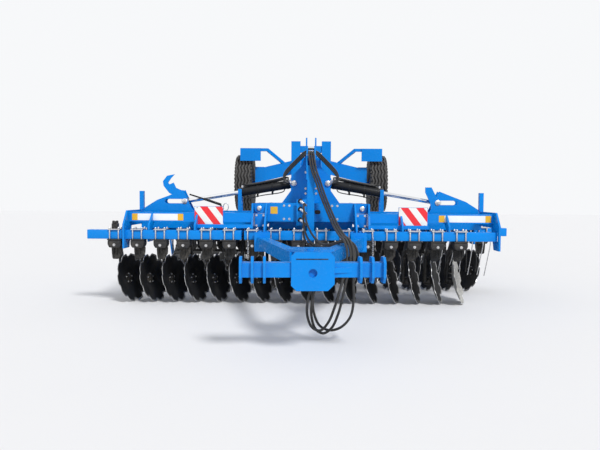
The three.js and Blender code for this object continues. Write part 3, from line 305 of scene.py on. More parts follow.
# %% [markdown]
# Rubber differs from black paint in that it scatters light: it has no coat, a high roughness
# and a brownish bloom of dust. The long hoses are also wrapped in a braid, which is drawn as
# two crossing sets of fine ridges along each hose's own length and girth.

# %% Rubbers
tyre_rubber = Finish("tyre_rubber", (0.022, 0.021, 0.02), Roughness=0.8)
bloom = tyre_rubber.noise(5.0, 4.0, 0.6)
pores = tyre_rubber.noise(220.0, 2.0)
rubber_colour = tyre_rubber.blend(bloom.ease(0.4, 0.8) * 0.4, (0.014, 0.014, 0.015), (0.07, 0.062, 0.052))
tyre_rubber.link(
    Base_Color=rubber_colour,
    Roughness=0.7 + bloom * 0.25,
    Normal=tyre_rubber.relief(pores, 0.0008),
)

tread_rubber = Finish("tread_rubber", (0.1, 0.095, 0.09), Roughness=0.85)
scuff = tread_rubber.noise(30.0, 3.0)
tread_rubber.link(
    Base_Color=tread_rubber.blend(scuff, (0.035, 0.034, 0.033), (0.10, 0.095, 0.09)),
    Normal=tread_rubber.relief(scuff, 0.0008),
)

BRAID_ALONG, BRAID_AROUND = 900, 50.27
hose_rubber = Finish("hose_rubber", (0.014, 0.014, 0.014), Roughness=0.5)
lengthwise = hose_rubber.node("ShaderNodeUVMap", {"uv_map": "along"})
along = hose_rubber.node("ShaderNodeSeparateXYZ", inputs={0: lengthwise}, output="X")
around = hose_rubber.node("ShaderNodeSeparateXYZ", inputs={0: lengthwise}, output="Y")
strand_one = (along * BRAID_ALONG + around * BRAID_AROUND).sum("SINE")
strand_two = (along * BRAID_ALONG - around * BRAID_AROUND).sum("SINE")
braid = strand_one * strand_two
hose_dust = hose_rubber.noise(14.0, 3.0)
hose_bloom = hose_dust.ease(0.45, 0.8) * 0.3
hose_rubber.link(
    Base_Color=hose_rubber.blend(hose_bloom, (0.014, 0.014, 0.014), (0.09, 0.085, 0.075)),
    Roughness=0.42 + hose_dust * 0.2,
    Normal=hose_rubber.relief(braid, 0.0006),
)

# The short hoses between the cylinders are smooth, so they need no braid.
hose_skin = Finish("hose_skin", (0.014, 0.014, 0.015), Roughness=0.4)
skin_dust = hose_skin.noise(20.0, 3.0)
hose_skin.link(Base_Color=hose_skin.blend(skin_dust * 0.4, (0.012, 0.012, 0.013), (0.05, 0.048, 0.045)))

# The blocks of rubber in the disc clamps are the dustiest of all.
rubber_block = Finish("rubber_block", (0.016, 0.016, 0.017))
block_dust = rubber_block.noise(12.0, 4.0)
block_bloom = block_dust.ease(0.45, 0.85) * 0.5
rubber_block.link(
    Base_Color=rubber_block.blend(block_bloom, (0.014, 0.014, 0.015), (0.13, 0.115, 0.095)),
    Roughness=0.5 + block_dust * 0.3,
    Normal=rubber_block.relief(block_dust, 0.001),
)
rubbers = (tyre_rubber, tread_rubber, hose_rubber, hose_skin, rubber_block)
print("rubbers:", *(rubber.material.name for rubber in rubbers))

# %% [markdown]
# Warning boards carry red and white stripes that slope down to the right, and the strips on
# the frame are yellow at the ends and white between. Both are stickers, so their pattern can be
# a formula: a slanted wave cut off sharply for the stripes, and a band between two distances
# from the middle of the machine for the strips.

# %% Stickers and lenses
board_film = Finish("board_film", (0.8, 0.8, 0.78), Roughness=0.35, Coat_Weight=0.4)
STRIPE_SLOPE, STRIPE_SHIFT, STRIPE_PITCH = 1.3, 0.052, 0.221
slant = board_film.axis("X") * STRIPE_SLOPE + board_film.axis("Z") + STRIPE_SHIFT
stripe = (slant * (2 * math.pi / STRIPE_PITCH)).sum("SINE").over(0.0)
smudge = board_film.noise(11.0, 4.0).ease(0.5, 0.9) * 0.35
board_colour = board_film.blend(stripe, (0.80, 0.80, 0.77), (0.78, 0.008, 0.02))
board_film.link(Base_Color=board_film.blend(smudge, board_colour, DUST), Roughness=0.3 + smudge * 0.5)

strip_film = Finish("strip_film", (0.8, 0.72, 0.05), Roughness=0.3, Coat_Weight=0.4)
from_middle = strip_film.axis("X").sum("ABSOLUTE")
WHITE_START, WHITE_END = 1.472, 1.918
white_band = from_middle.over(WHITE_START) * (1 - from_middle.over(WHITE_END))
strip_dust = strip_film.noise(16.0, 4.0).ease(0.5, 0.9) * 0.25
strip_colour = strip_film.blend(white_band, (0.78, 0.42, 0.01), (0.80, 0.83, 0.84))
strip_film.link(Base_Color=strip_film.blend(strip_dust, strip_colour, DUST), Roughness=0.28 + strip_dust)

red_lens = Finish("red_lens", (0.45, 0.01, 0.008), Roughness=0.15, Coat_Weight=0.8)
ribs = (red_lens.axis("X") * 900).sum("SINE")
red_lens.link(Normal=red_lens.relief(ribs, 0.0006))

# The small patch on the frame's panel is plain yellow.
patch_film = Finish("patch_film", (0.80, 0.44, 0.01), Roughness=0.3, Coat_Weight=0.4)
patch_dust = patch_film.noise(16.0, 4.0).ease(0.5, 0.9) * 0.25
patch_film.link(
    Base_Color=patch_film.blend(patch_dust, (0.80, 0.44, 0.01), DUST), Roughness=0.28 + patch_dust)
films = (board_film, strip_film, patch_film, red_lens)
print("stickers and lenses:", *(film.material.name for film in films))

# %% [markdown]
# The imported model names a few material slots, and each finish for a finer piece is paired with
# one of them. Most finishes always go with the same slot, so each such pair is named once here.
# The pieces are painted with the finish alone; the slot in each pair is not stored on them.

# %% Finishes with their slots
BLUE, BLACK = (blue_enamel, "frame_blue"), (black_paint, "cylinder_black")
ZINC, HOSE = (zinc.material, "coupler_zinc"), (hose_skin.material, "hose_rubber")
CAGE, SCRAPER = (roller_paint, "roller_black"), (black_paint, "roller_black")
TYRE, TREAD_FINISH = (tyre_rubber.material, "tyre"), (tread_rubber.material, "tyre")
RUBBER = (rubber_block.material, "cylinder_black")
BOARD, STRIP, PATCH = ((film.material, "frame_blue") for film in (board_film, strip_film, patch_film))
LENS, FLANGE = (red_lens.material, "disc_steel"), (black_paint, "disc_steel")
print("slots used:", sorted({pair[1] for pair in (BLUE, BLACK, ZINC, HOSE, CAGE, TYRE, LENS)}))

# %% [markdown]
# ## Building solids
#
# Most small parts are one of three things: a plate cut to an outline, a round bar or pipe that
# follows points, or a shape turned about an axis. Each helper returns plain vertices and faces,
# so that many of them can be gathered into one mesh that rides on one body.

# %% Plates, pipes and turned shapes
def plate(outline, thickness, place, right, up):
    """A flat plate: its outline in millimetres along right and up, its thickness across them."""
    right, up = Vector(right).normalized(), Vector(up).normalized()
    out = right.cross(up)
    count = len(outline)
    points = []
    for side in (-0.5, 0.5):
        for u, v in outline:
            points.append(place + (right * u + up * v + out * side * thickness) / 1000)
    faces = [tuple(range(count))[::-1], tuple(range(count, 2 * count))]
    faces += [(i, (i + 1) % count, (i + 1) % count + count, i + count) for i in range(count)]
    following = outline[1:] + outline[:1]
    area = sum(a[0] * b[1] - b[0] * a[1] for a, b in zip(outline, following))
    if area < 0:
        faces = [face[::-1] for face in faces]
    return points, faces


def brick(x, y, z):
    """A block between two faces along each axis of the drawing."""
    corners = [(x[0], z[0]), (x[1], z[0]), (x[1], z[1]), (x[0], z[1])]
    return plate(corners, y[1] - y[0], at(0, (y[0] + y[1]) / 2, 0), (1, 0, 0), (0, 0, 1))


def skin(rows, sides, capped=True):
    """The faces round a stack of rings of points, with a cap at each end unless it closes itself."""
    faces = []
    for row in range(rows - 1):
        for k in range(sides):
            a, b = row * sides + k, row * sides + (k + 1) % sides
            faces.append((a, b, b + sides, a + sides))
    if capped:
        faces += [tuple(range(sides))[::-1], tuple(range((rows - 1) * sides, rows * sides))]
    return faces


def turned(profile, start, axis, sides=24):
    """A profile of (radius, distance) in millimetres, turned about an axis from a start."""
    axis = Vector(axis).normalized()
    across = axis.orthogonal().normalized()
    other = axis.cross(across)
    points = []
    for radius, reach in profile:
        for k in range(sides):
            angle = 2 * math.pi * k / sides
            spoke = (across * math.cos(angle) + other * math.sin(angle)) * radius
            points.append(start + (axis * reach + spoke) / 1000)
    return points, skin(len(profile), sides, capped=profile[0] != profile[-1])


def rod(start, end, radius):
    """A plain round bar between two places, with its ends broken a little."""
    length = (end - start).length * 1000
    chamfer, end_radius = radius * 0.08, radius * 0.92
    profile = [(end_radius, 0), (radius, chamfer), (radius, length - chamfer), (end_radius, length)]
    return turned(profile, start, end - start, 20)


def pipe(path, radius, sides=12):
    """A bent pipe along places that lie close together."""
    path = [Vector(p) for p in path]
    forward = (path[1] - path[0]).normalized()
    across = forward.orthogonal().normalized()
    points = []
    for i, place in enumerate(path):
        ahead = path[min(i + 1, len(path) - 1)] - path[max(i - 1, 0)]
        turn = forward.rotation_difference(ahead.normalized())
        across = (turn @ across).normalized()
        forward = ahead.normalized()
        other = forward.cross(across)
        for k in range(sides):
            angle = 2 * math.pi * k / sides
            points.append(place + (across * math.cos(angle) + other * math.sin(angle)) * radius / 1000)
    return points, skin(len(path), sides)


cube_points, cube_faces = brick((0, 10), (0, 10), (0, 10))
print("a brick has", len(cube_points), "points and", len(cube_faces), "faces")


# %% [markdown]
# A piece is finished by a small bevel on its sharp edges, which catches the light as every real
# edge does, and by smooth shading on its curves. The bevel is applied at once, so the object
# that rides on the body is a plain mesh.

# %% Finishing a piece
def gather(name, solids, finish, body, bevel=0.0, smooth=35):
    """One mesh of many solids, bevelled, shaded, painted and set riding on a body."""
    points, faces = [], []
    for some_points, some_faces in solids:
        start = len(points)
        points += [tuple(p) for p in some_points]
        faces += [tuple(start + i for i in face) for face in some_faces]
    mesh = bpy.data.meshes.new(name)
    mesh.from_pydata(points, [], faces)
    piece = bpy.data.objects.new(name, mesh)
    bpy.context.scene.collection.objects.link(piece)
    if bevel:
        rounding = piece.modifiers.new("bevel", "BEVEL")
        rounding.width = bevel / 1000
        rounding.segments = 2
        rounding.limit_method = "ANGLE"
        rounding.angle_limit = math.radians(40)
        settle(piece)
    return finish_piece(piece, finish, body, smooth)


def settle(piece):
    """Turns the result of a piece's modifiers into its plain mesh and removes them."""
    graph = bpy.context.evaluated_depsgraph_get()
    graph.update()
    mesh = bpy.data.meshes.new_from_object(piece.evaluated_get(graph))
    piece.modifiers.clear()
    piece.data = mesh
    return piece


def finish_piece(piece, finish, body, smooth):
    """Paints a piece, shades it smooth up to an angle in degrees, and sets it riding on a body."""
    material, slot = finish
    piece.data.materials.clear()
    piece.data.materials.append(material)
    piece.data.shade_smooth()
    piece.data.set_sharp_from_angle(angle=math.radians(smooth))
    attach(piece, body)
    return piece


# %% [markdown]
# ## Hoses
#
# Three hydraulic hoses leave a manifold at the top of the mast, sweep down beside it, run out
# along the drawbar to the crossbar, hang there in loops and come back to their couplers, which
# wait in a holder on the mast while no tractor is attached. They are the only loose parts, so
# they are made first: each is a smooth curve through points, a plain tube with a braided finish.

# %% Hose routes
HOSE_RADIUS = 11
HOSE_SPREAD = 26
SHARED_RUN = [
    (0, -60, 1722), (3, -130, 1694), (12, -205, 1620), (35, -245, 1500), (75, -258, 1390),
    (130, -268, 1230), (190, -295, 1085), (235, -420, 975), (265, -650, 905), (285, -900, 868),
    (295, -1150, 850), (302, -1400, 842), (322, -1600, 826), (342, -1745, 745),
]
HOSE_ROUTES = [
    [
        (364, -1830, 620), (362, -1870, 480), (364, -1885, 340), (336, -1890, 205), (255, -1893, 118),
        (160, -1893, 95), (80, -1890, 135), (34, -1885, 235), (20, -1875, 360), (30, -1845, 470),
        (80, -1800, 555), (165, -1760, 595), (260, -1720, 610), (340, -1660, 660), (362, -1580, 740),
        (330, -1490, 796), (255, -1400, 797), (190, -1280, 770), (130, -1100, 752), (70, -850, 770),
        (10, -620, 830), (-40, -470, 930), (-70, -390, 1050), (-76, -345, 1110),
    ],
    [
        (334, -1830, 630), (300, -1880, 500), (270, -1912, 370), (232, -1920, 230), (180, -1924, 120),
        (112, -1924, 75), (48, -1922, 110), (14, -1918, 210), (16, -1908, 330), (50, -1885, 450),
        (120, -1840, 545), (210, -1790, 590), (310, -1735, 600), (380, -1660, 650), (392, -1560, 735),
        (350, -1455, 800), (270, -1350, 798), (190, -1220, 742), (110, -1020, 722), (40, -800, 725),
        (-20, -600, 765), (-62, -460, 850), (-78, -385, 950), (-76, -345, 1015),
    ],
    [
        (302, -1840, 640), (276, -1905, 545), (240, -1945, 420), (200, -1955, 290), (150, -1956, 170),
        (85, -1956, 105), (20, -1955, 130), (-20, -1952, 220), (-20, -1940, 340), (20, -1915, 455),
        (100, -1885, 500), (200, -1830, 530), (320, -1760, 560), (408, -1670, 610), (424, -1560, 700),
        (385, -1430, 790), (300, -1310, 808), (222, -1180, 752), (120, -980, 692), (50, -780, 685),
        (-15, -590, 705), (-58, -500, 750), (-76, -445, 815), (-76, -345, 900),
    ],
]
COUPLER_HEIGHTS = [1150, 1060, 940]
COUPLER_WAY = Vector((50, -108, -35)).normalized()


def smooth_path(points, steps):
    """A curve through all the points that never overshoots, however unevenly they are spaced."""
    ends = [points[0] * 2 - points[1], *points, points[-1] * 2 - points[-2]]
    path = []
    for a, b, c, d in zip(ends, ends[1:], ends[2:], ends[3:]):
        gaps = [max((q - p).length ** 0.5, 1e-4) for p, q in ((a, b), (b, c), (c, d))]
        lead = ((b - a) / gaps[0] - (c - a) / (gaps[0] + gaps[1]) + (c - b) / gaps[1]) * gaps[1]
        tail = ((c - b) / gaps[1] - (d - b) / (gaps[1] + gaps[2]) + (d - c) / gaps[2]) * gaps[1]
        for k in range(steps):
            t = k / steps
            square, cube = c * 3 - b * 3 - lead * 2 - tail, b * 2 - c * 2 + lead + tail
            path.append(b + lead * t + square * t**2 + cube * t**3)
    return path + [points[-1]]


def curve_through(marks, steps):
    """The smooth path through points of the drawing."""
    return smooth_path([at(*mark) for mark in marks], steps)


# %% Make the hoses
HOSE_SIDES = 12
for index, route in enumerate(HOSE_ROUTES):
    shift = (1 - index) * HOSE_SPREAD
    nose = Vector((-75, -290, COUPLER_HEIGHTS[index] - 15)) + COUPLER_WAY * 0.9
    marks = [Vector((shift, -10.3, 1722)), *(Vector((x + shift, y, z)) for x, y, z in SHARED_RUN)]
    marks += [*(Vector(p) for p in route), nose + COUPLER_WAY * 40, nose]
    path = curve_through(marks, 6)
    tube = pipe(path, HOSE_RADIUS, HOSE_SIDES)
    hose = gather(f"hose_{index + 1}_braided", [tube], (hose_rubber.material, "hose_rubber"), "frame", smooth=80)
    reach = np.concatenate([[0], np.cumsum([(q - p).length for p, q in zip(path, path[1:])])])
    length = sum((q - p).length for p, q in zip(path, path[1:]))
    layer = hose.data.uv_layers.new(name="along")
    for polygon in hose.data.polygons:
        columns = [i % HOSE_SIDES for i in polygon.vertices]
        for loop, vertex, column in zip(polygon.loop_indices, polygon.vertices, columns):
            wrapped = 1.0 if column == 0 and max(columns) == HOSE_SIDES - 1 else column / HOSE_SIDES
            layer.data[loop].uv = (reach[vertex // HOSE_SIDES], wrapped)
    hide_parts(f"hose_{index + 1}")
    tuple(path[0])
    print(hose.name, round(length, 3), "metres")

# %% [markdown]
# ## Discs
#
# A disc is a shallow bowl with ten scallops cut from its rim. Its shape follows a rule, so
# Geometry Nodes can make it: a flat grid is bent round, its rings are sunk to a parabola, and
# its outer rings are drawn in at each scallop. The rule also writes how near each point is to
# the rim, which is where the paint wears off first.

# %% A node group with named sizes
def start_tree(name, sizes):
    """A Geometry Nodes tree with a geometry, named sizes and a material in, and a geometry out."""
    tree = bpy.data.node_groups.new(name, "GeometryNodeTree")
    tree.interface.new_socket("Geometry", in_out="INPUT", socket_type="NodeSocketGeometry")
    for label, value in sizes.items():
        kind = "NodeSocketInt" if isinstance(value, int) else "NodeSocketFloat"
        tree.interface.new_socket(label, in_out="INPUT", socket_type=kind).default_value = value
    tree.interface.new_socket("Material", in_out="INPUT", socket_type="NodeSocketMaterial")
    tree.interface.new_socket("Geometry", in_out="OUTPUT", socket_type="NodeSocketGeometry")
    given = tree.nodes.new("NodeGroupInput")
    return tree, {socket.name: Flow(tree, socket) for socket in given.outputs if socket.name}


def close_tree(tree, shape, material):
    """Realises the instances, paints them and ends the tree."""
    real = add_node(tree, "GeometryNodeRealizeInstances", inputs={0: shape})
    painted = add_node(tree, "GeometryNodeSetMaterial", inputs={"Geometry": real, "Material": material})
    tree.links.new(painted.socket, tree.nodes.new("NodeGroupOutput").inputs[0])
    return tree


def grow(name, tree, mesh, **values):
    """Runs a tree on a mesh with the values of its inputs, and gives back the plain object."""
    piece = bpy.data.objects.new(name, mesh)
    bpy.context.scene.collection.objects.link(piece)
    modifier = piece.modifiers.new(tree.name, "NODES")
    modifier.node_group = tree
    for socket in tree.interface.items_tree:
        label = socket.name.replace(" ", "_")
        if socket.in_out == "INPUT" and label in values:
            modifier[socket.identifier] = values[label]
    return settle(piece)


# %% The notched bowl
NOTCH_SHARE = 8 / 36
DISC_THICKNESS = 0.005

bowl_tree, given = start_tree("notched_bowl", {
    "Radius": 0.279, "Hole": 0.028, "Dish": 0.060, "Notch Depth": 0.030, "Teeth": 10.0})
grid = add_node(bowl_tree, "GeometryNodeMeshGrid", inputs={
    "Size X": 1.0, "Size Y": 1.0, "Vertices X": 15, "Vertices Y": 161})
spot = add_node(bowl_tree, "GeometryNodeInputPosition")
across = add_node(bowl_tree, "ShaderNodeSeparateXYZ", inputs={0: spot}, output="X") + 0.5
round_share = add_node(bowl_tree, "ShaderNodeSeparateXYZ", inputs={0: spot}, output="Y") + 0.5
tooth_place = (round_share * given["Teeth"] + 0.5).sum("FRACT") - 0.5
from_notch = tooth_place / NOTCH_SHARE
scallop = (1 - from_notch * from_notch).sum("MAXIMUM", 0.0)
local_rim = given["Radius"] - given["Notch Depth"] * scallop
plain_radius = given["Hole"] + (given["Radius"] - given["Hole"]) * across
radius = plain_radius - given["Notch Depth"] * scallop * across.sum("POWER", 7.0)
share = radius / given["Radius"]
angle = round_share * (2 * math.pi)
depth = (share * share - 1) * given["Dish"]
bent = {"X": radius * angle.sum("SINE"), "Y": radius * angle.sum("COSINE") * -1.0, "Z": depth}
place = add_node(bowl_tree, "ShaderNodeCombineXYZ", inputs=bent)
worn = add_node(bowl_tree, "GeometryNodeStoreNamedAttribute", {"data_type": "FLOAT", "domain": "POINT"},
                {"Geometry": grid, "Name": "reach", "Value": 1 - (local_rim - radius) / given["Radius"]})
bowl = add_node(bowl_tree, "GeometryNodeSetPosition", inputs={"Geometry": worn, "Position": place})
sewn = add_node(bowl_tree, "GeometryNodeMergeByDistance", inputs={"Geometry": bowl, "Distance": 0.00005})
close_tree(bowl_tree, sewn, given["Material"])

bowl_piece = grow("bowl_pattern", bowl_tree, bpy.data.meshes.new("seed"), Material=disc_steel.material)
wall = bowl_piece.modifiers.new("wall", "SOLIDIFY")
wall.thickness = DISC_THICKNESS
wall.offset = -1
settle(bowl_piece)
bowl_size = [round(d, 3) for d in bowl_piece.dimensions]
print("a disc has", len(bowl_piece.data.polygons), "faces, and measures", bowl_size)

# %% [markdown]
# Screws turn up all over the machine, and always in groups. One tree makes a hexagon head with
# its washer, and a nut on a stud if it has one, at every point of a mesh, turned to that point's
# own direction. A group of screws is then only a list of places and ways.

# %% Screws
screw_tree, given = start_tree("screws", {
    "Head Radius": 0.012, "Head Height": 0.008, "Washer Radius": 0.016, "Stud Radius": 0.006, "Stud Length": 0.012})


def standing(tree, sides, radius, height):
    """A short prism standing on the floor of the tree's own space."""
    sizes = {"Vertices": sides, "Radius": radius, "Depth": height}
    prism = add_node(tree, "GeometryNodeMeshCylinder", inputs=sizes, output="Mesh")
    lift = add_node(tree, "ShaderNodeCombineXYZ", inputs={"Z": height * 0.5})
    return add_node(tree, "GeometryNodeTransform", inputs={"Geometry": prism, "Translation": lift})


def joined(tree, *shapes):
    node = tree.nodes.new("GeometryNodeJoinGeometry")
    for shape in shapes:
        tree.links.new(shape.socket, node.inputs[0])
    return Flow(tree, node.outputs[0])


washer = standing(screw_tree, 16, given["Washer Radius"], given["Washer Radius"] * 0.16)
head = standing(screw_tree, 6, given["Head Radius"], given["Head Height"])
crown = standing(screw_tree, 12, given["Head Radius"] * 0.8, given["Head Height"] * 1.12)
stud = standing(screw_tree, 8, given["Stud Radius"], given["Stud Length"])
way = add_node(screw_tree, "GeometryNodeInputNamedAttribute", {"data_type": "FLOAT_VECTOR"}, {"Name": "way"})
aim = add_node(screw_tree, "FunctionNodeAlignRotationToVector", {"axis": "Z"}, {"Vector": way})
screws = add_node(screw_tree, "GeometryNodeInstanceOnPoints", inputs={
    "Points": given["Geometry"], "Instance": joined(screw_tree, washer, head, crown, stud), "Rotation": aim})
close_tree(screw_tree, screws, given["Material"])


def screw_group(name, spots, body, head=12, height=8, washer=16, stud=0):
    """Zinc-plated screws at (place, way) pairs; the sizes are in millimetres."""
    mesh = bpy.data.meshes.new(name)
    mesh.from_pydata([tuple(place) for place, _ in spots], [], [])
    ways = mesh.attributes.new("way", "FLOAT_VECTOR", "POINT")
    ways.data.foreach_set("vector", [number for _, way in spots for number in Vector(way).normalized()])
    piece = grow(
        name, screw_tree, mesh, Head_Radius=head / 1000, Head_Height=height / 1000, Washer_Radius=washer / 1000,
        Stud_Radius=head * 0.55 / 1000, Stud_Length=(height + stud) / 1000, Material=zinc.material)
    return finish_piece(piece, ZINC, body, 30)


print("the screw tree has", len(screw_tree.nodes), "nodes")


# %% [markdown]
# Every disc is turned eighteen degrees to the way the machine goes and leans back twelve, the
# rear row opposite to the front one. The bowl is copied to each place and turned there in its
# mesh. A dished hub flange with five screws sits in its hollow, and a bearing cap behind it.

# %% Place the discs
TILT, GANG = math.radians(12), math.radians(18)
DISC_Z = 280 * math.cos(math.radians(8)) * math.cos(TILT) + 5 * math.sin(TILT)
ROWS = {"front": (0, -350, 1), "rear": (990, 640, -1)}  # the discs' y, the beam's y, the outer side
FIRST_DISC, DISC_PITCH = -2050, 250
HUB_SCREWS = 5
FLANGE_PROFILE = [(62, -59), (62, -54), (54, -50), (44, -48), (30, -47), (28, -38), (22, -35), (4, -34)]


def disc_x(row, number):
    """Middle of a disc across the machine; the numbers start at 1 at the row's outer end."""
    return ROWS[row][2] * (FIRST_DISC + DISC_PITCH * (number - 1))


def disc_frame(row, number):
    """Matrix of a disc: its middle, the way it faces and its own upward way."""
    y, _, side = ROWS[row]
    level = math.cos(TILT)
    face = Vector((side * math.cos(GANG) * level, -math.sin(GANG) * level, math.sin(TILT)))
    up = (Vector((0, 0, 1)) - face * face.z).normalized()
    turn = Matrix((up.cross(face), up, face)).transposed().to_4x4()
    return Matrix.Translation(at(disc_x(row, number), y, DISC_Z)) @ turn


for row in ROWS:
    for number in range(1, 17):
        spin = disc_frame(row, number)
        shape = bowl_piece.data.copy()
        shape.transform(spin)
        disc = bpy.data.objects.new(f"{row}_disc_{number:02d}_bowl", shape)
        bpy.context.scene.collection.objects.link(disc)
        body = f"disc_{row}_{number:02d}"
        steel = bare_steel if (row, number) == ("front", 16) else disc_steel
        finish_piece(disc, (steel.material, "disc_steel"), body, 40)
        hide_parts(body)
        middle, face = spin.translation, spin.to_3x3() @ Vector((0, 0, 1))
        flange = turned(FLANGE_PROFILE, middle, face)
        back = turned([(40, -65), (58, -61), (40, -60.5)], middle, face, 20)
        gather(f"{row}_disc_{number:02d}_flange", [flange, back], FLANGE, body)
        spots = []
        for k in range(HUB_SCREWS):
            angle = 2 * math.pi * (k + 0.25) / HUB_SCREWS
            spots.append((spin @ Vector((0.049 * math.cos(angle), 0.049 * math.sin(angle), -0.0505)), face))
        screw_group(f"{row}_disc_{number:02d}_screws", spots, body, head=9, height=8, washer=11, stud=3)
bpy.data.objects.remove(bowl_piece)
print("32 discs with", 32 * HUB_SCREWS, "hub screws")

# %% [markdown]
# ## Disc beams
#
# Each gang of discs hangs from a square blue beam. A black steel arm carries each disc's
# bearing, and it is held to the beam by a clamp: a black housing full of rubber under the beam,
# four zinc bolts through its lid, and a top plate with four nuts. The rubber lets a disc give
# way to a stone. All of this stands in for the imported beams, whose arms are plain plates. Every
# part of it is a function of a disc's row and number, and a beam is drawn by calling each one
# for all of its discs.

# %% Which discs hang from which beam
BEAM_LOW, BEAM_TOP, BEAM_HALF = 740, 840, 50
GANGS = [
    ("left_front_disc_beam", "front", range(1, 7), (-2430, -750), "wing_left"),
    ("centre_front_disc_beam", "front", range(7, 12), (-720, 484.7), "frame"),
    ("right_front_disc_beam", "front", range(12, 17), (525, 2009.7), "wing_right"),
    ("right_rear_disc_beam", "rear", range(1, 7), (750, 2430), "wing_right"),
    ("centre_rear_disc_beam", "rear", range(7, 12), (-484.7, 720), "frame"),
    ("left_rear_disc_beam", "rear", range(12, 17), (-2009.7, -525), "wing_left"),
]


CORNER_STEPS = 4


def rounded(outline, radius):
    """The same outline with its corners rounded off."""
    result = []
    for before, corner, after in zip(outline[-1:] + outline[:-1], outline, outline[1:] + outline[:1]):
        corner = Vector(corner)
        ends = []
        for other in (before, after):
            edge = Vector(other) - corner
            ends.append(corner + edge.normalized() * min(radius, edge.length * 0.45))
        for k in range(CORNER_STEPS + 1):
            t = k / CORNER_STEPS
            point = ends[0] * (1 - t) ** 2 + corner * 2 * t * (1 - t) + ends[1] * t**2
            result.append((point.x, point.y))
    return result


ARM_BEHIND, ARM_ASIDE, CLAMP_ASIDE = 0.1033, 133, 80
BOLT_X, BOLT_Y = (-48, 48), (-60, 60)


def clamp_place(row, number):
    """The middle of a disc's clamp across the machine, the beam it sits on and its outer side."""
    _, beam_y, side = ROWS[row]
    return disc_x(row, number) - side * CLAMP_ASIDE, beam_y, side


def arm_solids(row, number):
    """The arm with its bearing housing, and the seal between the bearing and the disc."""
    y, beam_y, side = ROWS[row]
    spin = disc_frame(row, number)
    face = spin.to_3x3() @ Vector((0, 0, 1))
    hub = spin.translation - face * ARM_BEHIND
    hub_y, hub_z = (hub.y - SHIFT) * 1000, hub.z * 1000
    x = disc_x(row, number) - side * ARM_ASIDE
    outline = [
        (beam_y, 732), (beam_y, 650), (beam_y + 150, 628), (hub_y - 90, 530), (hub_y - 42, hub_z + 8),
        (hub_y - 12, hub_z - 30), (hub_y + 22, hub_z - 24), (hub_y + 38, hub_z + 20), (hub_y + 10, 560),
        (beam_y + 160, 728),
    ]
    arm = plate(rounded(outline, 30), 30, at(x, 0, 0), (0, 1, 0), (0, 0, 1))
    profile = [(30, 66), (45, 68), (46, 74), (46, 112), (40, 122), (36, 140), (20, 141)]
    housing = turned(profile, spin.translation, -face, 24)
    return [arm, housing]


def clamp_solids(row, number):
    """The rubber housing under the beam."""
    x, beam_y, _ = clamp_place(row, number)
    outline = [(-72, 726), (-72, 680), (-54, 646), (54, 646), (72, 680), (72, 726)]
    shell = plate(rounded(outline, 12), 126, at(x, beam_y, 0), (1, 0, 0), (0, 0, 1))
    rim = [(-60, 718), (-60, 684), (-46, 656), (46, 656), (60, 684), (60, 718)]
    lip = plate(rounded(rim, 12), 134, at(x, beam_y, 0), (1, 0, 0), (0, 0, 1))
    lid = brick((x - 75, x + 75), (beam_y - 72, beam_y + 72), (726.5, 739.5))
    bar = [(17, -70), (19, -68), (19, 68), (17, 70)]
    cores = [turned(bar, at(x + dx, beam_y, 700), (0, 1, 0), 16) for dx in (-40, 40)]
    return [shell, lip, lid, *cores]


def skirt_solids(row, number):
    """The ribbed web of the casting, which hangs between the housing and the arm."""
    x, beam_y, side = clamp_place(row, number)
    outline = [(-64, 652), (-60, 575), (-34 - side * 18, 512), (34 - side * 18, 512), (60, 575), (64, 652)]
    web = plate(rounded(outline, 16), 14, at(x, beam_y + 46, 0), (1, 0, 0), (0, 0, 1))
    ribs = [brick((x + dx - 5, x + dx + 5), (beam_y + 28, beam_y + 39), (560, 650)) for dx in (-38, 0, 38)]
    return [web, *ribs]


def bolt_solids(row, number):
    """The four bolts that hug the beam, and the top plate that they go through."""
    x, beam_y, _ = clamp_place(row, number)
    feet = [(x + dx, beam_y + dy) for dx in BOLT_X for dy in BOLT_Y]
    bolts = [rod(at(*foot, 868), at(*foot, 728), 8) for foot in feet]
    return [*bolts, brick((x - 66, x + 66), (beam_y - 74, beam_y + 74), (840.5, 851))]


def nut_spots(row, number):
    """The places and ways of the four nuts on the top plate and of the two on the housing."""
    x, beam_y, _ = clamp_place(row, number)
    tops = [(at(x + dx, beam_y + dy, 851), (0, 0, 1)) for dx in BOLT_X for dy in BOLT_Y]
    return tops + [(at(x, beam_y + way * 67, 676), (0, way, 0)) for way in (-1, 1)]


# %% Make the beams and what hangs from them
CASTINGS = (("arms", arm_solids, BLACK), ("webs", skirt_solids, BLACK), ("clamps", clamp_solids, RUBBER))
for name, row, numbers, ends, body in GANGS:
    beam_y = ROWS[row][1]
    tube = brick(ends, (beam_y - BEAM_HALF, beam_y + BEAM_HALF), (BEAM_LOW, BEAM_TOP))
    beam = gather(f"{name}_tube", [tube], BLUE, body, bevel=7)
    for part, make, finish in CASTINGS:
        solids = [solid for number in numbers for solid in make(row, number)]
        gather(f"{name}_{part}", solids, finish, body, bevel=3)
    bolts = [solid for number in numbers for solid in bolt_solids(row, number)]
    gather(f"{name}_u_bolts", bolts, ZINC, body, smooth=50)
    spots = [spot for number in numbers for spot in nut_spots(row, number)]
    screw_group(f"{name}_nuts", spots, body, head=12, height=11, washer=15, stud=8)
    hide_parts(name)
print("six beams with", sum(len(numbers) for _, _, numbers, _, _ in GANGS), "arms")

# %% [markdown]
# Spring tines stand in pairs along the front of the rear beams and comb the soil between the
# two rows. Each is one bent bar: a hook over the beam's bracket, three turns of a coil that let
# it give, and a long leg with a slight sweep. A path of points gives all of it.

# %% Spring tines
TINE_RADIUS, TINE_TURNS, COIL_RADIUS, COIL_PITCH = 6.5, 3, 24, 15


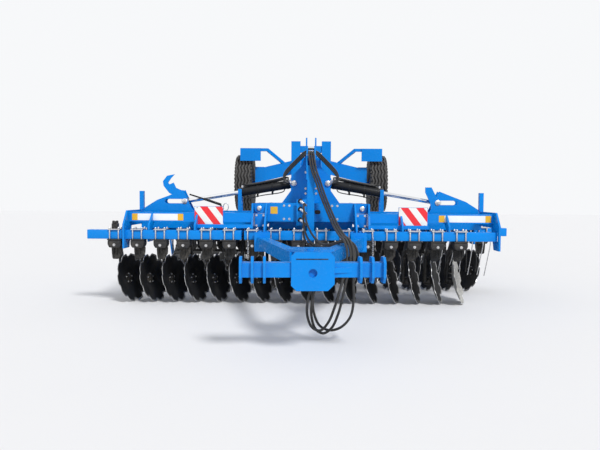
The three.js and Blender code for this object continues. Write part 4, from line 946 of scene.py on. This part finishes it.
def tine(x, hand):
    """One tine; hand is the side its coil turns to."""
    points = [(x, 578, 838), (x, 566, 800)]
    for k in range(TINE_TURNS * 12 + 1):
        angle = math.pi + 2 * math.pi * k / 12
        aside = hand * COIL_PITCH * k / 12
        points.append((x + aside, 542 - COIL_RADIUS * math.cos(angle), 752 + COIL_RADIUS * math.sin(angle)))
    x_leg = x + hand * COIL_PITCH * TINE_TURNS
    points += [(x_leg, y, z) for y, z in ((560, 690), (540, 600), (522, 480), (530, 380), (556, 300))]
    return pipe(curve_through(points, 2), TINE_RADIUS, 8)


for name, row, numbers, ends, body in GANGS[3:]:
    tines, holders, spots = [], [], []
    for number in numbers:
        x = disc_x(row, number) + ROWS[row][2] * 70
        tines += [tine(x - 16, -1), tine(x + 16, 1)]
        holders.append(brick((x - 34, x + 34), (571, 589.6), (768, 832)))
        spots.append((at(x, 571, 800), (0, -1, 0)))
    gather(f"{name}_tines", tines, CAGE, body, smooth=60)
    gather(f"{name}_tine_holders", holders, BLUE, body, bevel=2)
    screw_group(f"{name}_tine_screws", spots, body, head=10, height=8, washer=14)
    print(name, "carries", len(tines), "tines")

# %% [markdown]
# ## Rollers
#
# Each cage roller keeps its packed shaft, end discs and bars. Flat rings stiffen the cage
# inside its bars. A tube joins the roller's arms just ahead of it, and a row of scrapers hangs
# from the tube, to knock off clods before they can jam the cage.

# %% Roller rings and scrapers
ROLLER_Y, ROLLER_Z, RING_PITCH = 1950, 252.7, 150
RING = [(208, -5), (238, -5), (238, 5), (208, 5), (208, -5)]
ROLLERS = {
    "left": (-1973, -692, "wing_left"), "centre": (-458, 458, "frame"), "right": (692, 1973, "wing_right"),
}
for name, (start, end, holder) in ROLLERS.items():
    gaps = round((end - start) / RING_PITCH)
    places = [start + (end - start) * k / gaps for k in range(1, gaps)]
    rings = [turned(RING, at(x, ROLLER_Y, ROLLER_Z), (1, 0, 0), 40) for x in places]
    gather(f"{name}_roller_rings", rings, CAGE, f"roller_{name}", smooth=30)
    tube = brick((start - 36, end + 36), (1722, 1792), (592, 662))
    gather(f"{name}_scraper_tube", [tube], SCRAPER, holder, bevel=6)
    blades = [brick((x - 45, x + 45), (1740, 1752), (446, 600)) for x in places]
    gather(f"{name}_scrapers", blades, SCRAPER, holder, bevel=3)
    print("the", name, "roller has", len(rings), "rings and as many scrapers")

# %% [markdown]
# ## Wheels
#
# The wheels carry the machine on the road. A farm tyre has a rounded carcass and here five
# rings of zigzag tread. The carcass is a profile turned about the axle. The tread is one block,
# set out round the wheel by a tree that leans every second block the other way.

# %% A tree for things that stand in a ring
ring_tree, given = start_tree("ring", {
    "Count": 40, "Radius": 0.49, "Lean": 0.5, "Width": 0.05, "Length": 0.05, "Height": 0.03})
wheel_line = add_node(ring_tree, "GeometryNodeMeshCircle", inputs={
    "Vertices": given["Count"], "Radius": given["Radius"]})
step = add_node(ring_tree, "GeometryNodeInputIndex")
spoke_angle = step / given["Count"] * (2 * math.pi)
odd = step.sum("MODULO", 2.0)
turned_to = add_node(ring_tree, "ShaderNodeCombineXYZ", inputs={"Z": spoke_angle})
leaning = add_node(ring_tree, "ShaderNodeCombineXYZ", inputs={"X": (odd * 2 - 1) * given["Lean"]})
size = add_node(ring_tree, "ShaderNodeCombineXYZ", inputs={
    "X": given["Height"], "Y": given["Length"], "Z": given["Width"]})
block_shape = add_node(ring_tree, "GeometryNodeMeshCube", inputs={"Size": size}, output="Mesh")
blocks = add_node(ring_tree, "GeometryNodeInstanceOnPoints", inputs={
    "Points": wheel_line, "Instance": block_shape, "Rotation": turned_to})
leant = add_node(ring_tree, "GeometryNodeRotateInstances", inputs={"Instances": blocks, "Rotation": leaning})
close_tree(ring_tree, leant, given["Material"])


def ring_of(name, centre, axis, **sizes):
    """A ring of tread blocks about an axis; sizes in metres; not yet riding on anything."""
    piece = grow(name, ring_tree, bpy.data.meshes.new(name), Material=tread_rubber.material, **sizes)
    turn = Vector(axis).to_track_quat("Z", "Y").to_matrix().to_4x4()
    piece.data.transform(Matrix.Translation(centre) @ turn)
    return piece


def melt(pieces, name):
    """Joins loose pieces into one mesh."""
    whole = bmesh.new()
    for piece in pieces:
        whole.from_mesh(piece.data)
        bpy.data.objects.remove(piece)
    mesh = bpy.data.meshes.new(name)
    whole.to_mesh(mesh)
    whole.free()
    result = bpy.data.objects.new(name, mesh)
    bpy.context.scene.collection.objects.link(result)
    return result


# %% Tyres, rims and hubs
WHEEL_X, WHEEL_Z = 1162, 1450
HALVES = ((-1, "left"), (1, "right"))
TREAD_RINGS = [-108, -54, 0, 54, 108]
TREAD = {"Count": 40, "Radius": 0.4855, "Lean": 0.3, "Width": 0.024, "Length": 0.084, "Height": 0.026}
LUGS = {"Count": 44, "Radius": 0.462, "Lean": 0.0, "Width": 0.024, "Length": 0.036, "Height": 0.030}
WHEEL_NUTS, NUT_CIRCLE = 8, 0.118
TYRE_HALF = [
    (196, -122), (214, -136), (250, -146), (320, -150), (390, -149), (440, -143), (468, -132), (480, -114), (479, -70),
]
CARCASS = [
    *TYRE_HALF, (479, 0), *((radius, -reach) for radius, reach in reversed(TYRE_HALF)),
    (190, 110), (190, -110), (196, -122),
]
RIM = [
    (199, -120), (206, -126), (208, -120), (196, -106), (184, -90), (182, 0), (182, 90), (196, 106), (208, 120),
    (206, 126), (199, 120), (176, 90), (174, 30), (150, 22), (90, 26), (84, 34), (60, 34), (60, 20), (84, 20),
    (90, 12), (150, 8), (172, 4), (174, -90), (199, -120),
]
HUB = [(46, -26), (64, -24), (64, 30), (60, 62), (52, 92), (40, 100), (4, 102)]
for side, name in HALVES:
    body = f"wheel_{name}"
    centre = at(side * WHEEL_X, WHEEL_Y, WHEEL_Z)
    out = (side, 0, 0)
    tyre = gather(f"{name}_tyre", [turned(CARCASS, centre, out, 64)], TYRE, body, smooth=50)
    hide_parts(f"{name}_wheel")
    rings = []
    for kind, reaches, sizes in (("tread", TREAD_RINGS, TREAD), ("lug", (-134, 134), LUGS)):
        for reach in reaches:
            place = centre + Vector((side * reach / 1000, 0, 0))
            rings.append(ring_of(f"{name}_{kind}_{reach}", place, out, **sizes))
    finish_piece(melt(rings, f"{name}_tread"), TREAD_FINISH, body, 30)
    gather(f"{name}_rim", [turned(RIM, centre, out, 48)], BLUE, body, smooth=40)
    gather(f"{name}_hub", [turned(HUB, centre, out, 32)], BLACK, body, smooth=40)
    nuts = []
    for k in range(WHEEL_NUTS):
        angle = 2 * math.pi * k / WHEEL_NUTS
        nuts.append((centre + Vector((side * 0.026, NUT_CIRCLE * math.cos(angle), NUT_CIRCLE * math.sin(angle))), out))
    screw_group(f"{name}_wheel_nuts", nuts, body, head=15, height=16, washer=20, stud=8)
    print(tyre.name, "has", (len(TREAD_RINGS) * TREAD["Count"] + 2 * LUGS["Count"]), "tread blocks")

# %% [markdown]
# ## Boards and strips
#
# Warning boards are screwed to the front of each wing, and a plain coloured strip runs along
# the beam beside each. They are thin sheets with rounded corners, just proud of the steel. The
# same striped boards, with a red lamp beside each, face backwards on the road from the axle.

# %% Boards, strips and lamps
SHEET, SHEET_GAP = 2.0, 1.2


def sheet_metal(x, z, y, radius, facing):
    """A thin rounded sheet between two values of X and of Z, in front of a wall at y."""
    wide, tall = (x[1] - x[0]) / 2, (z[1] - z[0]) / 2
    corners = rounded([(-wide, -tall), (wide, -tall), (wide, tall), (-wide, tall)], radius)
    middle = at((x[0] + x[1]) / 2, y + facing * SHEET_GAP, (z[0] + z[1]) / 2)
    return plate(corners, SHEET, middle, (1, 0, 0), (0, 0, 1))


def both_ways(side, near, far):
    """The values of X between two distances from the middle, on one side of the machine."""
    return (min(side * near, side * far), max(side * near, side * far))


for side, name in HALVES:
    wing = f"wing_{name}"
    board = [sheet_metal(both_ways(side, 969, 1281), (889, 1097), -262, 10, -1)]
    gather(f"{name}_front_board", board, BOARD, wing)
    strip = [sheet_metal(both_ways(side, 1410, 1980), (940, 1014), -250, 6, -1)]
    gather(f"{name}_front_strip", strip, STRIP, wing)
    back = [sheet_metal(both_ways(side, 985, 1200), (1833, 2032), 3410, 10, 1)]
    gather(f"{name}_rear_board", back, BOARD, "transport_axle")
    lamp_x = both_ways(side, 870, 965)
    housing = [brick(lamp_x, (3410.5, 3432), (1835, 2020))]
    gather(f"{name}_lamp_housing", housing, BLACK, "transport_axle", bevel=6)
    lens = [brick((lamp_x[0] + 7, lamp_x[1] - 7), (3432, 3440), (1843, 2012))]
    gather(f"{name}_lamp_lens", lens, LENS, "transport_axle", bevel=4)
    corners = [(at(side * x, -264.2, z), (0, -1, 0)) for x in (968, 1253) for z in (901, 1085)]
    screw_group(f"{name}_board_screws", corners, wing, head=5, height=4, washer=8)
print("boards, strips and lamps for", len(HALVES), "halves")

# %% [markdown]
# ## Hydraulics
#
# The fold cylinders are thick black barrels with a flange and a gland at the open end, ports on
# top, a bundle of hoses along the barrel and a thin steel line below it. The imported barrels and
# rods already have the right size, so these parts are only put on and round them, each riding
# on its own cylinder. A sleeve's profile ends where it starts, which leaves it open in the
# middle, so that the rod can slide through.

# %% Fold cylinders
FOLD_CLIPS = (250, 430)
CLIP_TAB = [(-12, -92), (12, -92), (12, -46), (-12, -46)]


def along_line(start, end):
    """The way of a cylinder, and a helper that finds a place at a distance from its base pin."""
    way = (end - start).normalized()

    def spot(distance, up=0, out=0):
        return start + (way * distance + Vector((0, 0, 1)) * up + Vector((0, -1, 0)) * out) / 1000

    return way, spot


def spots_along(spot, marks):
    """A smooth path through (distance, up, out) marks of a cylinder."""
    return smooth_path([spot(*mark) for mark in marks], 6)


for side, name in HALVES:
    base, eye = at(side * 200, 330, 1370), at(side * 1500, 330, 1150)
    way, spot = along_line(base, eye)
    barrel_body = f"fold_barrel_{name}"
    sleeves = [
        [(46, 48), (47, 48), (50.5, 56), (50.5, 600), (46, 600), (46, 48)],
        [(32, 604), (51, 604), (55, 606), (55, 660), (52, 666), (32, 667.5), (32, 604)],
        [(46, 62), (51, 62), (54, 64), (54, 92), (51, 94), (46, 94), (46, 62)],
    ]
    gather(f"{name}_fold_shell", [turned(sleeve, base, way, 32) for sleeve in sleeves], BLACK, barrel_body)
    gather(f"{name}_fold_ports", [rod(spot(d, 40), spot(d, 78), 14) for d in (85, 628)], ZINC, barrel_body)
    upper = spots_along(spot, [
        (85, 74), (88, 84), (110, 86), (300, 72, 18), (560, 72, 18), (610, 86), (628, 84), (628, 74)])
    lower = spots_along(spot, [(110, -48, 30), (130, -76, 30), (360, -80, 30), (590, -76, 30), (612, -48, 30)])
    gather(f"{name}_fold_lines", [pipe(upper, 8, 10), pipe(lower, 6, 10)], BLACK, barrel_body, smooth=60)
    bands = [[(48, d), (52, d), (56, d + 2), (56, d + 20), (52, d + 22), (48, d + 22), (48, d)] for d in FOLD_CLIPS]
    clips = [turned(band, base, way, 32) for band in bands]
    clips += [plate(rounded(CLIP_TAB, 5), 8, spot(d + 11, 0, 30), way, (0, 0, 1)) for d in FOLD_CLIPS]
    gather(f"{name}_fold_clips", clips, BLACK, barrel_body)
    knuckle = turned([(38, -50), (47, -48), (47, 48), (38, 50)], eye, (0, 1, 0), 28)
    gather(f"{name}_fold_eye", [knuckle], BLACK, f"fold_rod_{name}")
    hoses = []
    for lift, out in ((66, -26), (74, 2), (88, -14)):
        marks = [(66, lift - 12, out), (96, lift, out), (250, lift - 6, out), (420, lift - 10, out)]
        marks += [(560, lift - 10, out * 0.5), (612, lift - 14, 0)]
        hoses.append(pipe(spots_along(spot, marks), 10, 10))
    gather(f"{name}_fold_hoses", hoses, HOSE, barrel_body, smooth=60)
    print("the", name, "fold cylinder is", round((eye - base).length, 3), "metres from pin to pin")

# %% [markdown]
# The lift cylinder works the same way between the backbone and the axle's cheeks. Its rod is
# short while the axle is up.

# %% Lift cylinder
base, eye = at(0, 1300, 1250), at(0, 2500, 1950)
way, spot = along_line(base, eye)
sleeves = [
    [(52, 56), (54, 56), (58.5, 62), (58.5, 868), (52, 868), (52, 56)],
    [(36, 850), (59, 850), (63, 852), (63, 892), (58, 898), (36, 899.5), (36, 850)],
]
gather("lift_shell", [turned(sleeve, base, way, 32) for sleeve in sleeves], BLACK, "lift_barrel")
gather("lift_ports", [rod(spot(d, 50), spot(d, 88), 15) for d in (100, 840)], ZINC, "lift_barrel")
run = spots_along(spot, [(100, 84), (112, 98), (150, 94), (450, 84), (790, 94), (828, 98), (840, 84)])
gather("lift_line", [pipe(run, 8, 10)], BLACK, "lift_barrel", smooth=60)
print("the lift cylinder is", round((eye - base).length, 3), "metres from pin to pin")

# %% [markdown]
# The pins that everything swings on end in round heads with a grease nipple; their locking
# screws are left out. They are easy to overlook and do much to make a machine look like one.

# %% Pin heads and grease nipples
def pin_head(place, way, radius):
    """A round head with a nipple in its middle."""
    profile = [(radius * 0.9, -1), (radius, 1), (radius, 7), (radius * 0.8, 10), (4, 11), (4, 16), (2.5, 20)]
    return turned(profile, place, way)


def pin_ends(x, y, z, reach, radius):
    """The heads at the front and the back of a pin that runs along the machine."""
    return [pin_head(at(x, y + way * reach, z), (0, way, 0), radius) for way in (-1, 1)]


heads = {"frame": [], "wing_left": [], "wing_right": [], "transport_axle": []}
for side, name in HALVES:
    for y in (-120, 720):
        heads["frame"] += pin_ends(side * 575, y, 1080, 52, 27)
    heads["frame"] += pin_ends(side * 200, 330, 1370, 100, 33)
    heads[f"wing_{name}"] += pin_ends(side * 1500, 330, 1150, 72, 32)
    heads["frame"].append(pin_head(at(side * 322, 2050, 1000), (side, 0, 0), 44))
    heads["transport_axle"].append(pin_head(at(side * 171, 2500, 1950), (side, 0, 0), 32))
for body, solids in heads.items():
    gather(f"{body}_pin_heads", solids, ZINC, body, smooth=40)
print(sum(len(solids) for solids in heads.values()), "pin heads")

# %% [markdown]
# ## Hose holder
#
# With no tractor attached, the couplers hang in a narrow bracket on the side of the mast. The
# packed holder is one plain block, so a bracket with three cups and three turned couplers, each
# with its collar, sleeve and dust cap ring, stands in for it; the sleeves are smooth, without
# their knurl.

# %% Holder and couplers
COUPLER_PROFILE = [
    (11, -6), (16, 0), (16, 18), (20, 22), (20, 52), (17, 56), (17, 74), (13, 80), (13, 92), (15, 94), (15, 112),
    (12, 119), (11, 124),
]
bracket = [brick((-158, -40.5), (-190, -182), (890, 1180)), brick((-60, -41), (-189, -150), (900, 1170))]
holder = gather("hose_bracket", bracket, BLUE, "frame", bevel=2)
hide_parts("hose_holder")
couplers, cups = [], []
for z in COUPLER_HEIGHTS:
    tail, tip = at(-125, -182, z + 20), at(-40, -262, z - 42)
    way = (tip - tail).normalized()
    couplers.append(turned(COUPLER_PROFILE, tail, way, 20))
    cups.append(turned([(23, 2), (27, 3), (27, 20), (23, 21)], tail, way))
gather("hose_couplers", couplers, ZINC, "frame", smooth=30)
gather("coupler_cups", cups, BLACK, "frame")
print(len(couplers), "couplers in the holder")

# %% [markdown]
# ## Mast and tower
#
# Behind the mast, short hoses come down from a manifold on both sides to the fold cylinders.
# They are held at both ends, so they are bent pipes that keep their shape, each with a union at
# its lower end. The mast itself gets the row of screws, two black sheets that paint the shade
# inside two holes in its panel, and the yellow patch that its panel shows.

# %% Lines on the tower
lines, unions = [], []
for side, _ in HALVES:
    for index in range(3):
        low = 24 * index
        route = [
            (side * 34, 140 - 30 * index, 1752 - 12 * index), (side * 84, 150 - 20 * index, 1728 - low),
            (side * 150, 178, 1668 - low), (side * 235, 206, 1584 - low), (side * 300, 216, 1510 - low),
            (side * 322, 222, 1450 - low * 0.7), (side * 296, 224, 1408 - low * 0.5),
            (side * (252 - 8 * index), 224, 1400 - low * 0.6),
        ]
        lines.append(pipe(curve_through(route, 6), 10, 10))
        way = (-side * 0.9, 0.3, 0)
        unions.append(turned([(9, -14), (15, -12), (15, 14), (11, 16), (11, 20)], at(*route[-1]), way, 6))
gather("tower_lines", lines, HOSE, "frame", smooth=60)
gather("tower_unions", unions, ZINC, "frame")
manifold = [brick((-36, 36), (40, 150), (1690, 1770)), brick((-30, 30), (-8, 38), (1688, 1756))]
gather("hose_manifold", manifold, BLACK, "frame", bevel=4)
gather("hose_band", [brick((-34, 34), (-14, -9), (1706, 1738))], ZINC, "frame", bevel=1)
spikes = [rod(at(x, 20, 1740), at(x, 20, 1884), 9) for x in (-52, 52)]
gather("mast_spikes", spikes, BLUE, "frame", smooth=60)
spots = [(at(x, -12, 1722), (0, -1, 0)) for x in (-13, 13)]
spots += [(at(x, 239, z), (0, -1, 0)) for x in (-62, 62) for z in (1250, 1310, 1500)]
spots += [(at(x, -119, z), (0, -1, 0)) for x in (-300, -240, 240, 300) for z in (960, 1110)]
screw_group("frame_screws", spots, "frame", head=9, height=7, washer=13)
# Painted shade: two thin black sheets on the panel stand where two holes would look dark inside.
opening_shade_sheets = [sheet_metal(span, (1018, 1062), -120, 21, -1) for span in ((-130, -45), (45, 110))]
gather("panel_openings", opening_shade_sheets, BLACK, "frame")
gather("frame_patch", [sheet_metal((-452, -372), (1018, 1098), -120, 8, -1)], PATCH, "frame")
print(len(lines), "lines and", len(spots), "screws on the tower and the panel")

# %% [markdown]
# ## Small fittings
#
# The last pieces are small and easy to miss: blank guards over the hinge gaps, a thin black strip
# that paints the shade of the slot in the crossbar's head, a gas strut and a lifting ring on the
# left wing, a valve at the end of the left beam, link chains at the inner plates, and the thin
# wires that keep stones off the rear discs on the right. Most are a rod, a brick or a turned
# profile put where it belongs.

# %% Guards and the painted shade of the slot in the head
guards = [brick(both_ways(side, 507, 622), (-192, -184), (870, 1020)) for side, _ in HALVES]
gather("hinge_guards", guards, BLUE, "frame", bevel=3)
guard_corners = [(side * x, z) for side, _ in HALVES for x in (525, 604) for z in (888, 1002)]
guard_spots = [(at(x, -192, z), (0, -1, 0)) for x, z in guard_corners]
screw_group("guard_screws", guard_spots, "frame", head=8, height=6, washer=12)

YAW = math.radians(4)
head_way, head_face = Vector((math.cos(YAW), math.sin(YAW), 0)), Vector((math.sin(YAW), -math.cos(YAW), 0))
# Painted shade: the slot is not cut into the head; a thin black strip on its face stands for the shade inside it.
slot_shade_centre = Vector((0.014, -3.4089, 0.7556)) + head_face * 0.0012
slot = plate([(-117, -3.5), (117, -3.5), (117, 3.5), (-117, 3.5)], SHEET, slot_shade_centre, head_way, (0, 0, 1))
gather("head_slot", [slot], BLACK, "hitch")
print(len(guards), "guards and a slot")

# %% Strut, ring and valve
strut = [rod(at(-1440, 244, 1232), at(-1270, 244, 1180), 9), rod(at(-1270, 244, 1180), at(-1066, 248, 1112), 15)]
strut.append(rod(at(-1066, 246, 1112), at(-1066, 262, 1044), 9))
gather("left_gas_strut", strut, BLACK, "wing_left", smooth=60)
angles = [2 * math.pi * k / 20 for k in range(21)]
loop = [at(-1010 + 30 * math.cos(a), 262, 1086 + 44 * math.sin(a)) for a in angles]
gather("left_lifting_ring", [pipe(loop, 5, 8)], ZINC, "wing_left", smooth=60)
valve = [brick((-2165, -2098), (-390, -330), (851, 908)), brick((-2150, -2113), (-400, -322), (908, 932))]
port = [(10, 0), (16, 2), (16, 30), (10, 34)]
valve += [turned(port, at(x, -360, 904), (0, 0, 1), 12) for x in (-2150, -2114)]
gather("left_valve", valve, BLACK, "wing_left", bevel=4)
print("a strut of", len(strut), "rods, a ring, and a valve of", len(valve), "solids")

# %% [markdown]
# A chain's links stand crosswise to each other. Each is a thin pipe round an oval, and every
# second one is turned by a quarter.

# %% Chains and wires
LINKS, LINK_PITCH, LINK_WIDTH, LINK_HEIGHT = 9, 22, 8, 15
for side, name, top, body in ((-1, "left", 720, "frame"), (1, "right", 760, "wing_right")):
    links = []
    for k in range(LINKS):
        loop = []
        for step in range(13):
            angle = 2 * math.pi * step / 12
            across, along = LINK_WIDTH * math.cos(angle), LINK_HEIGHT * math.sin(angle)
            aside, ahead = (across, 0) if k % 2 else (0, across)
            loop.append(at(side * 672 + aside, -430 + ahead, top - LINK_PITCH * k + along))
        links.append(pipe(loop, 3, 6))
    gather(f"{name}_chain", links, ZINC, body, smooth=60)

WIRE_TOP = 742
WIRES = (  # X at the top, and X and Z at the lower end
    (2216, 2150, 250), (2126, 2062, 262), (1996, 1946, 262), (1876, 1836, 330), (1764, 1722, 380), (1638, 1576, 300),
)
wires = []
for top_x, low_x, low_z in WIRES:
    route = [(top_x, 560, WIRE_TOP), (top_x, 545, 640), ((top_x + low_x) / 2 + 8, 540, 500), (low_x, 560, low_z)]
    wires.append(pipe(curve_through(route, 5), 6, 8))
gather("right_stone_wires", wires, ZINC, "wing_right", smooth=60)
print("2 chains of", LINKS, "links and", len(wires), "stone wires")

# %% [markdown]
# ## Paint the plain solids that stay
#
# The welded frames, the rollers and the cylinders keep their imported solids, which already have
# the right shape. They only get their finishes here, in the material slots of their objects.

# %% Paint the solids
PAINTS = {
    "frame_blue": blue_enamel, "roller_black": roller_paint, "cylinder_black": black_paint,
    "chrome_rod": chrome.material, "coupler_zinc": zinc.material, "tyre": tyre_rubber.material,
    "disc_steel": disc_steel.material, "hose_rubber": hose_rubber.material,
}
for part in frame["record"]["subparts"]:
    solid = nodes[part["node"]]
    solid.data.materials.clear()
    solid.data.materials.append(PAINTS[part["material_slot"]])

# %% [markdown]
# ## Floor, light and walls
#
# The harrow stands in a plain pale studio. A wide, far lamp shines from high on the right and
# ahead, as a hazy sun does, and a weaker and much softer one fills from the left. Being far
# off, both light the whole floor evenly, which a near lamp can't. The walls give the rest: they
# look nearly white to the camera and in gloss, and light the machine more softly than that.

# %% Studio
def far_lamp(name, towards, power, spread):
    """A distant lamp; towards points from the machine to the lamp."""
    lamp = bpy.data.lights.new(name, "SUN")
    lamp.energy = power
    lamp.angle = spread
    holder = bpy.data.objects.new(name, lamp)
    holder.matrix_world = Vector(towards).to_track_quat("Z", "Y").to_matrix().to_4x4()
    bpy.context.scene.collection.objects.link(holder)


far_lamp("key_lamp", towards=(0.42, -0.78, 0.78), power=2.5, spread=0.2)
far_lamp("fill_lamp", towards=(-0.8, -0.5, 0.6), power=0.45, spread=1.3)

studio = bpy.data.worlds.new("studio")
studio.use_nodes = True
bpy.context.scene.world = studio
walls = studio.node_tree
walls.nodes.clear()
seen = add_node(walls, "ShaderNodeLightPath", output="Is Camera Ray")
mirrored = add_node(walls, "ShaderNodeLightPath", output="Is Glossy Ray")
through = add_node(walls, "ShaderNodeLightPath", output="Is Transmission Ray")
WALL_LIGHT, SEEN_EXTRA = 0.56, 0.42
strength = WALL_LIGHT + (seen + mirrored + through).sum("MINIMUM", 1.0) * SEEN_EXTRA
wall_colour = (0.95, 0.96, 0.975, 1)
backdrop = add_node(walls, "ShaderNodeBackground", inputs={"Color": wall_colour, "Strength": strength})
add_node(walls, "ShaderNodeOutputWorld", inputs={"Surface": backdrop})

floor_finish = Finish("studio_floor", (0.79, 0.79, 0.80), Roughness=0.9, Specular_IOR_Level=0.1)
floor_tone = floor_finish.noise(0.9, 4.0)
floor_finish.link(Base_Color=floor_finish.blend(floor_tone * 0.5, (0.80, 0.80, 0.81), (0.78, 0.78, 0.79)))
floor_mesh = bpy.data.meshes.new("floor")
HALF = 40
corners = [(x * HALF, y * HALF, 0) for x, y in ((-1, -1), (1, -1), (1, 1), (-1, 1))]
floor_mesh.from_pydata(corners, [], [(0, 1, 2, 3)])
floor = bpy.data.objects.new("floor", floor_mesh)
floor_mesh.materials.append(floor_finish.material)
bpy.context.scene.collection.objects.link(floor)
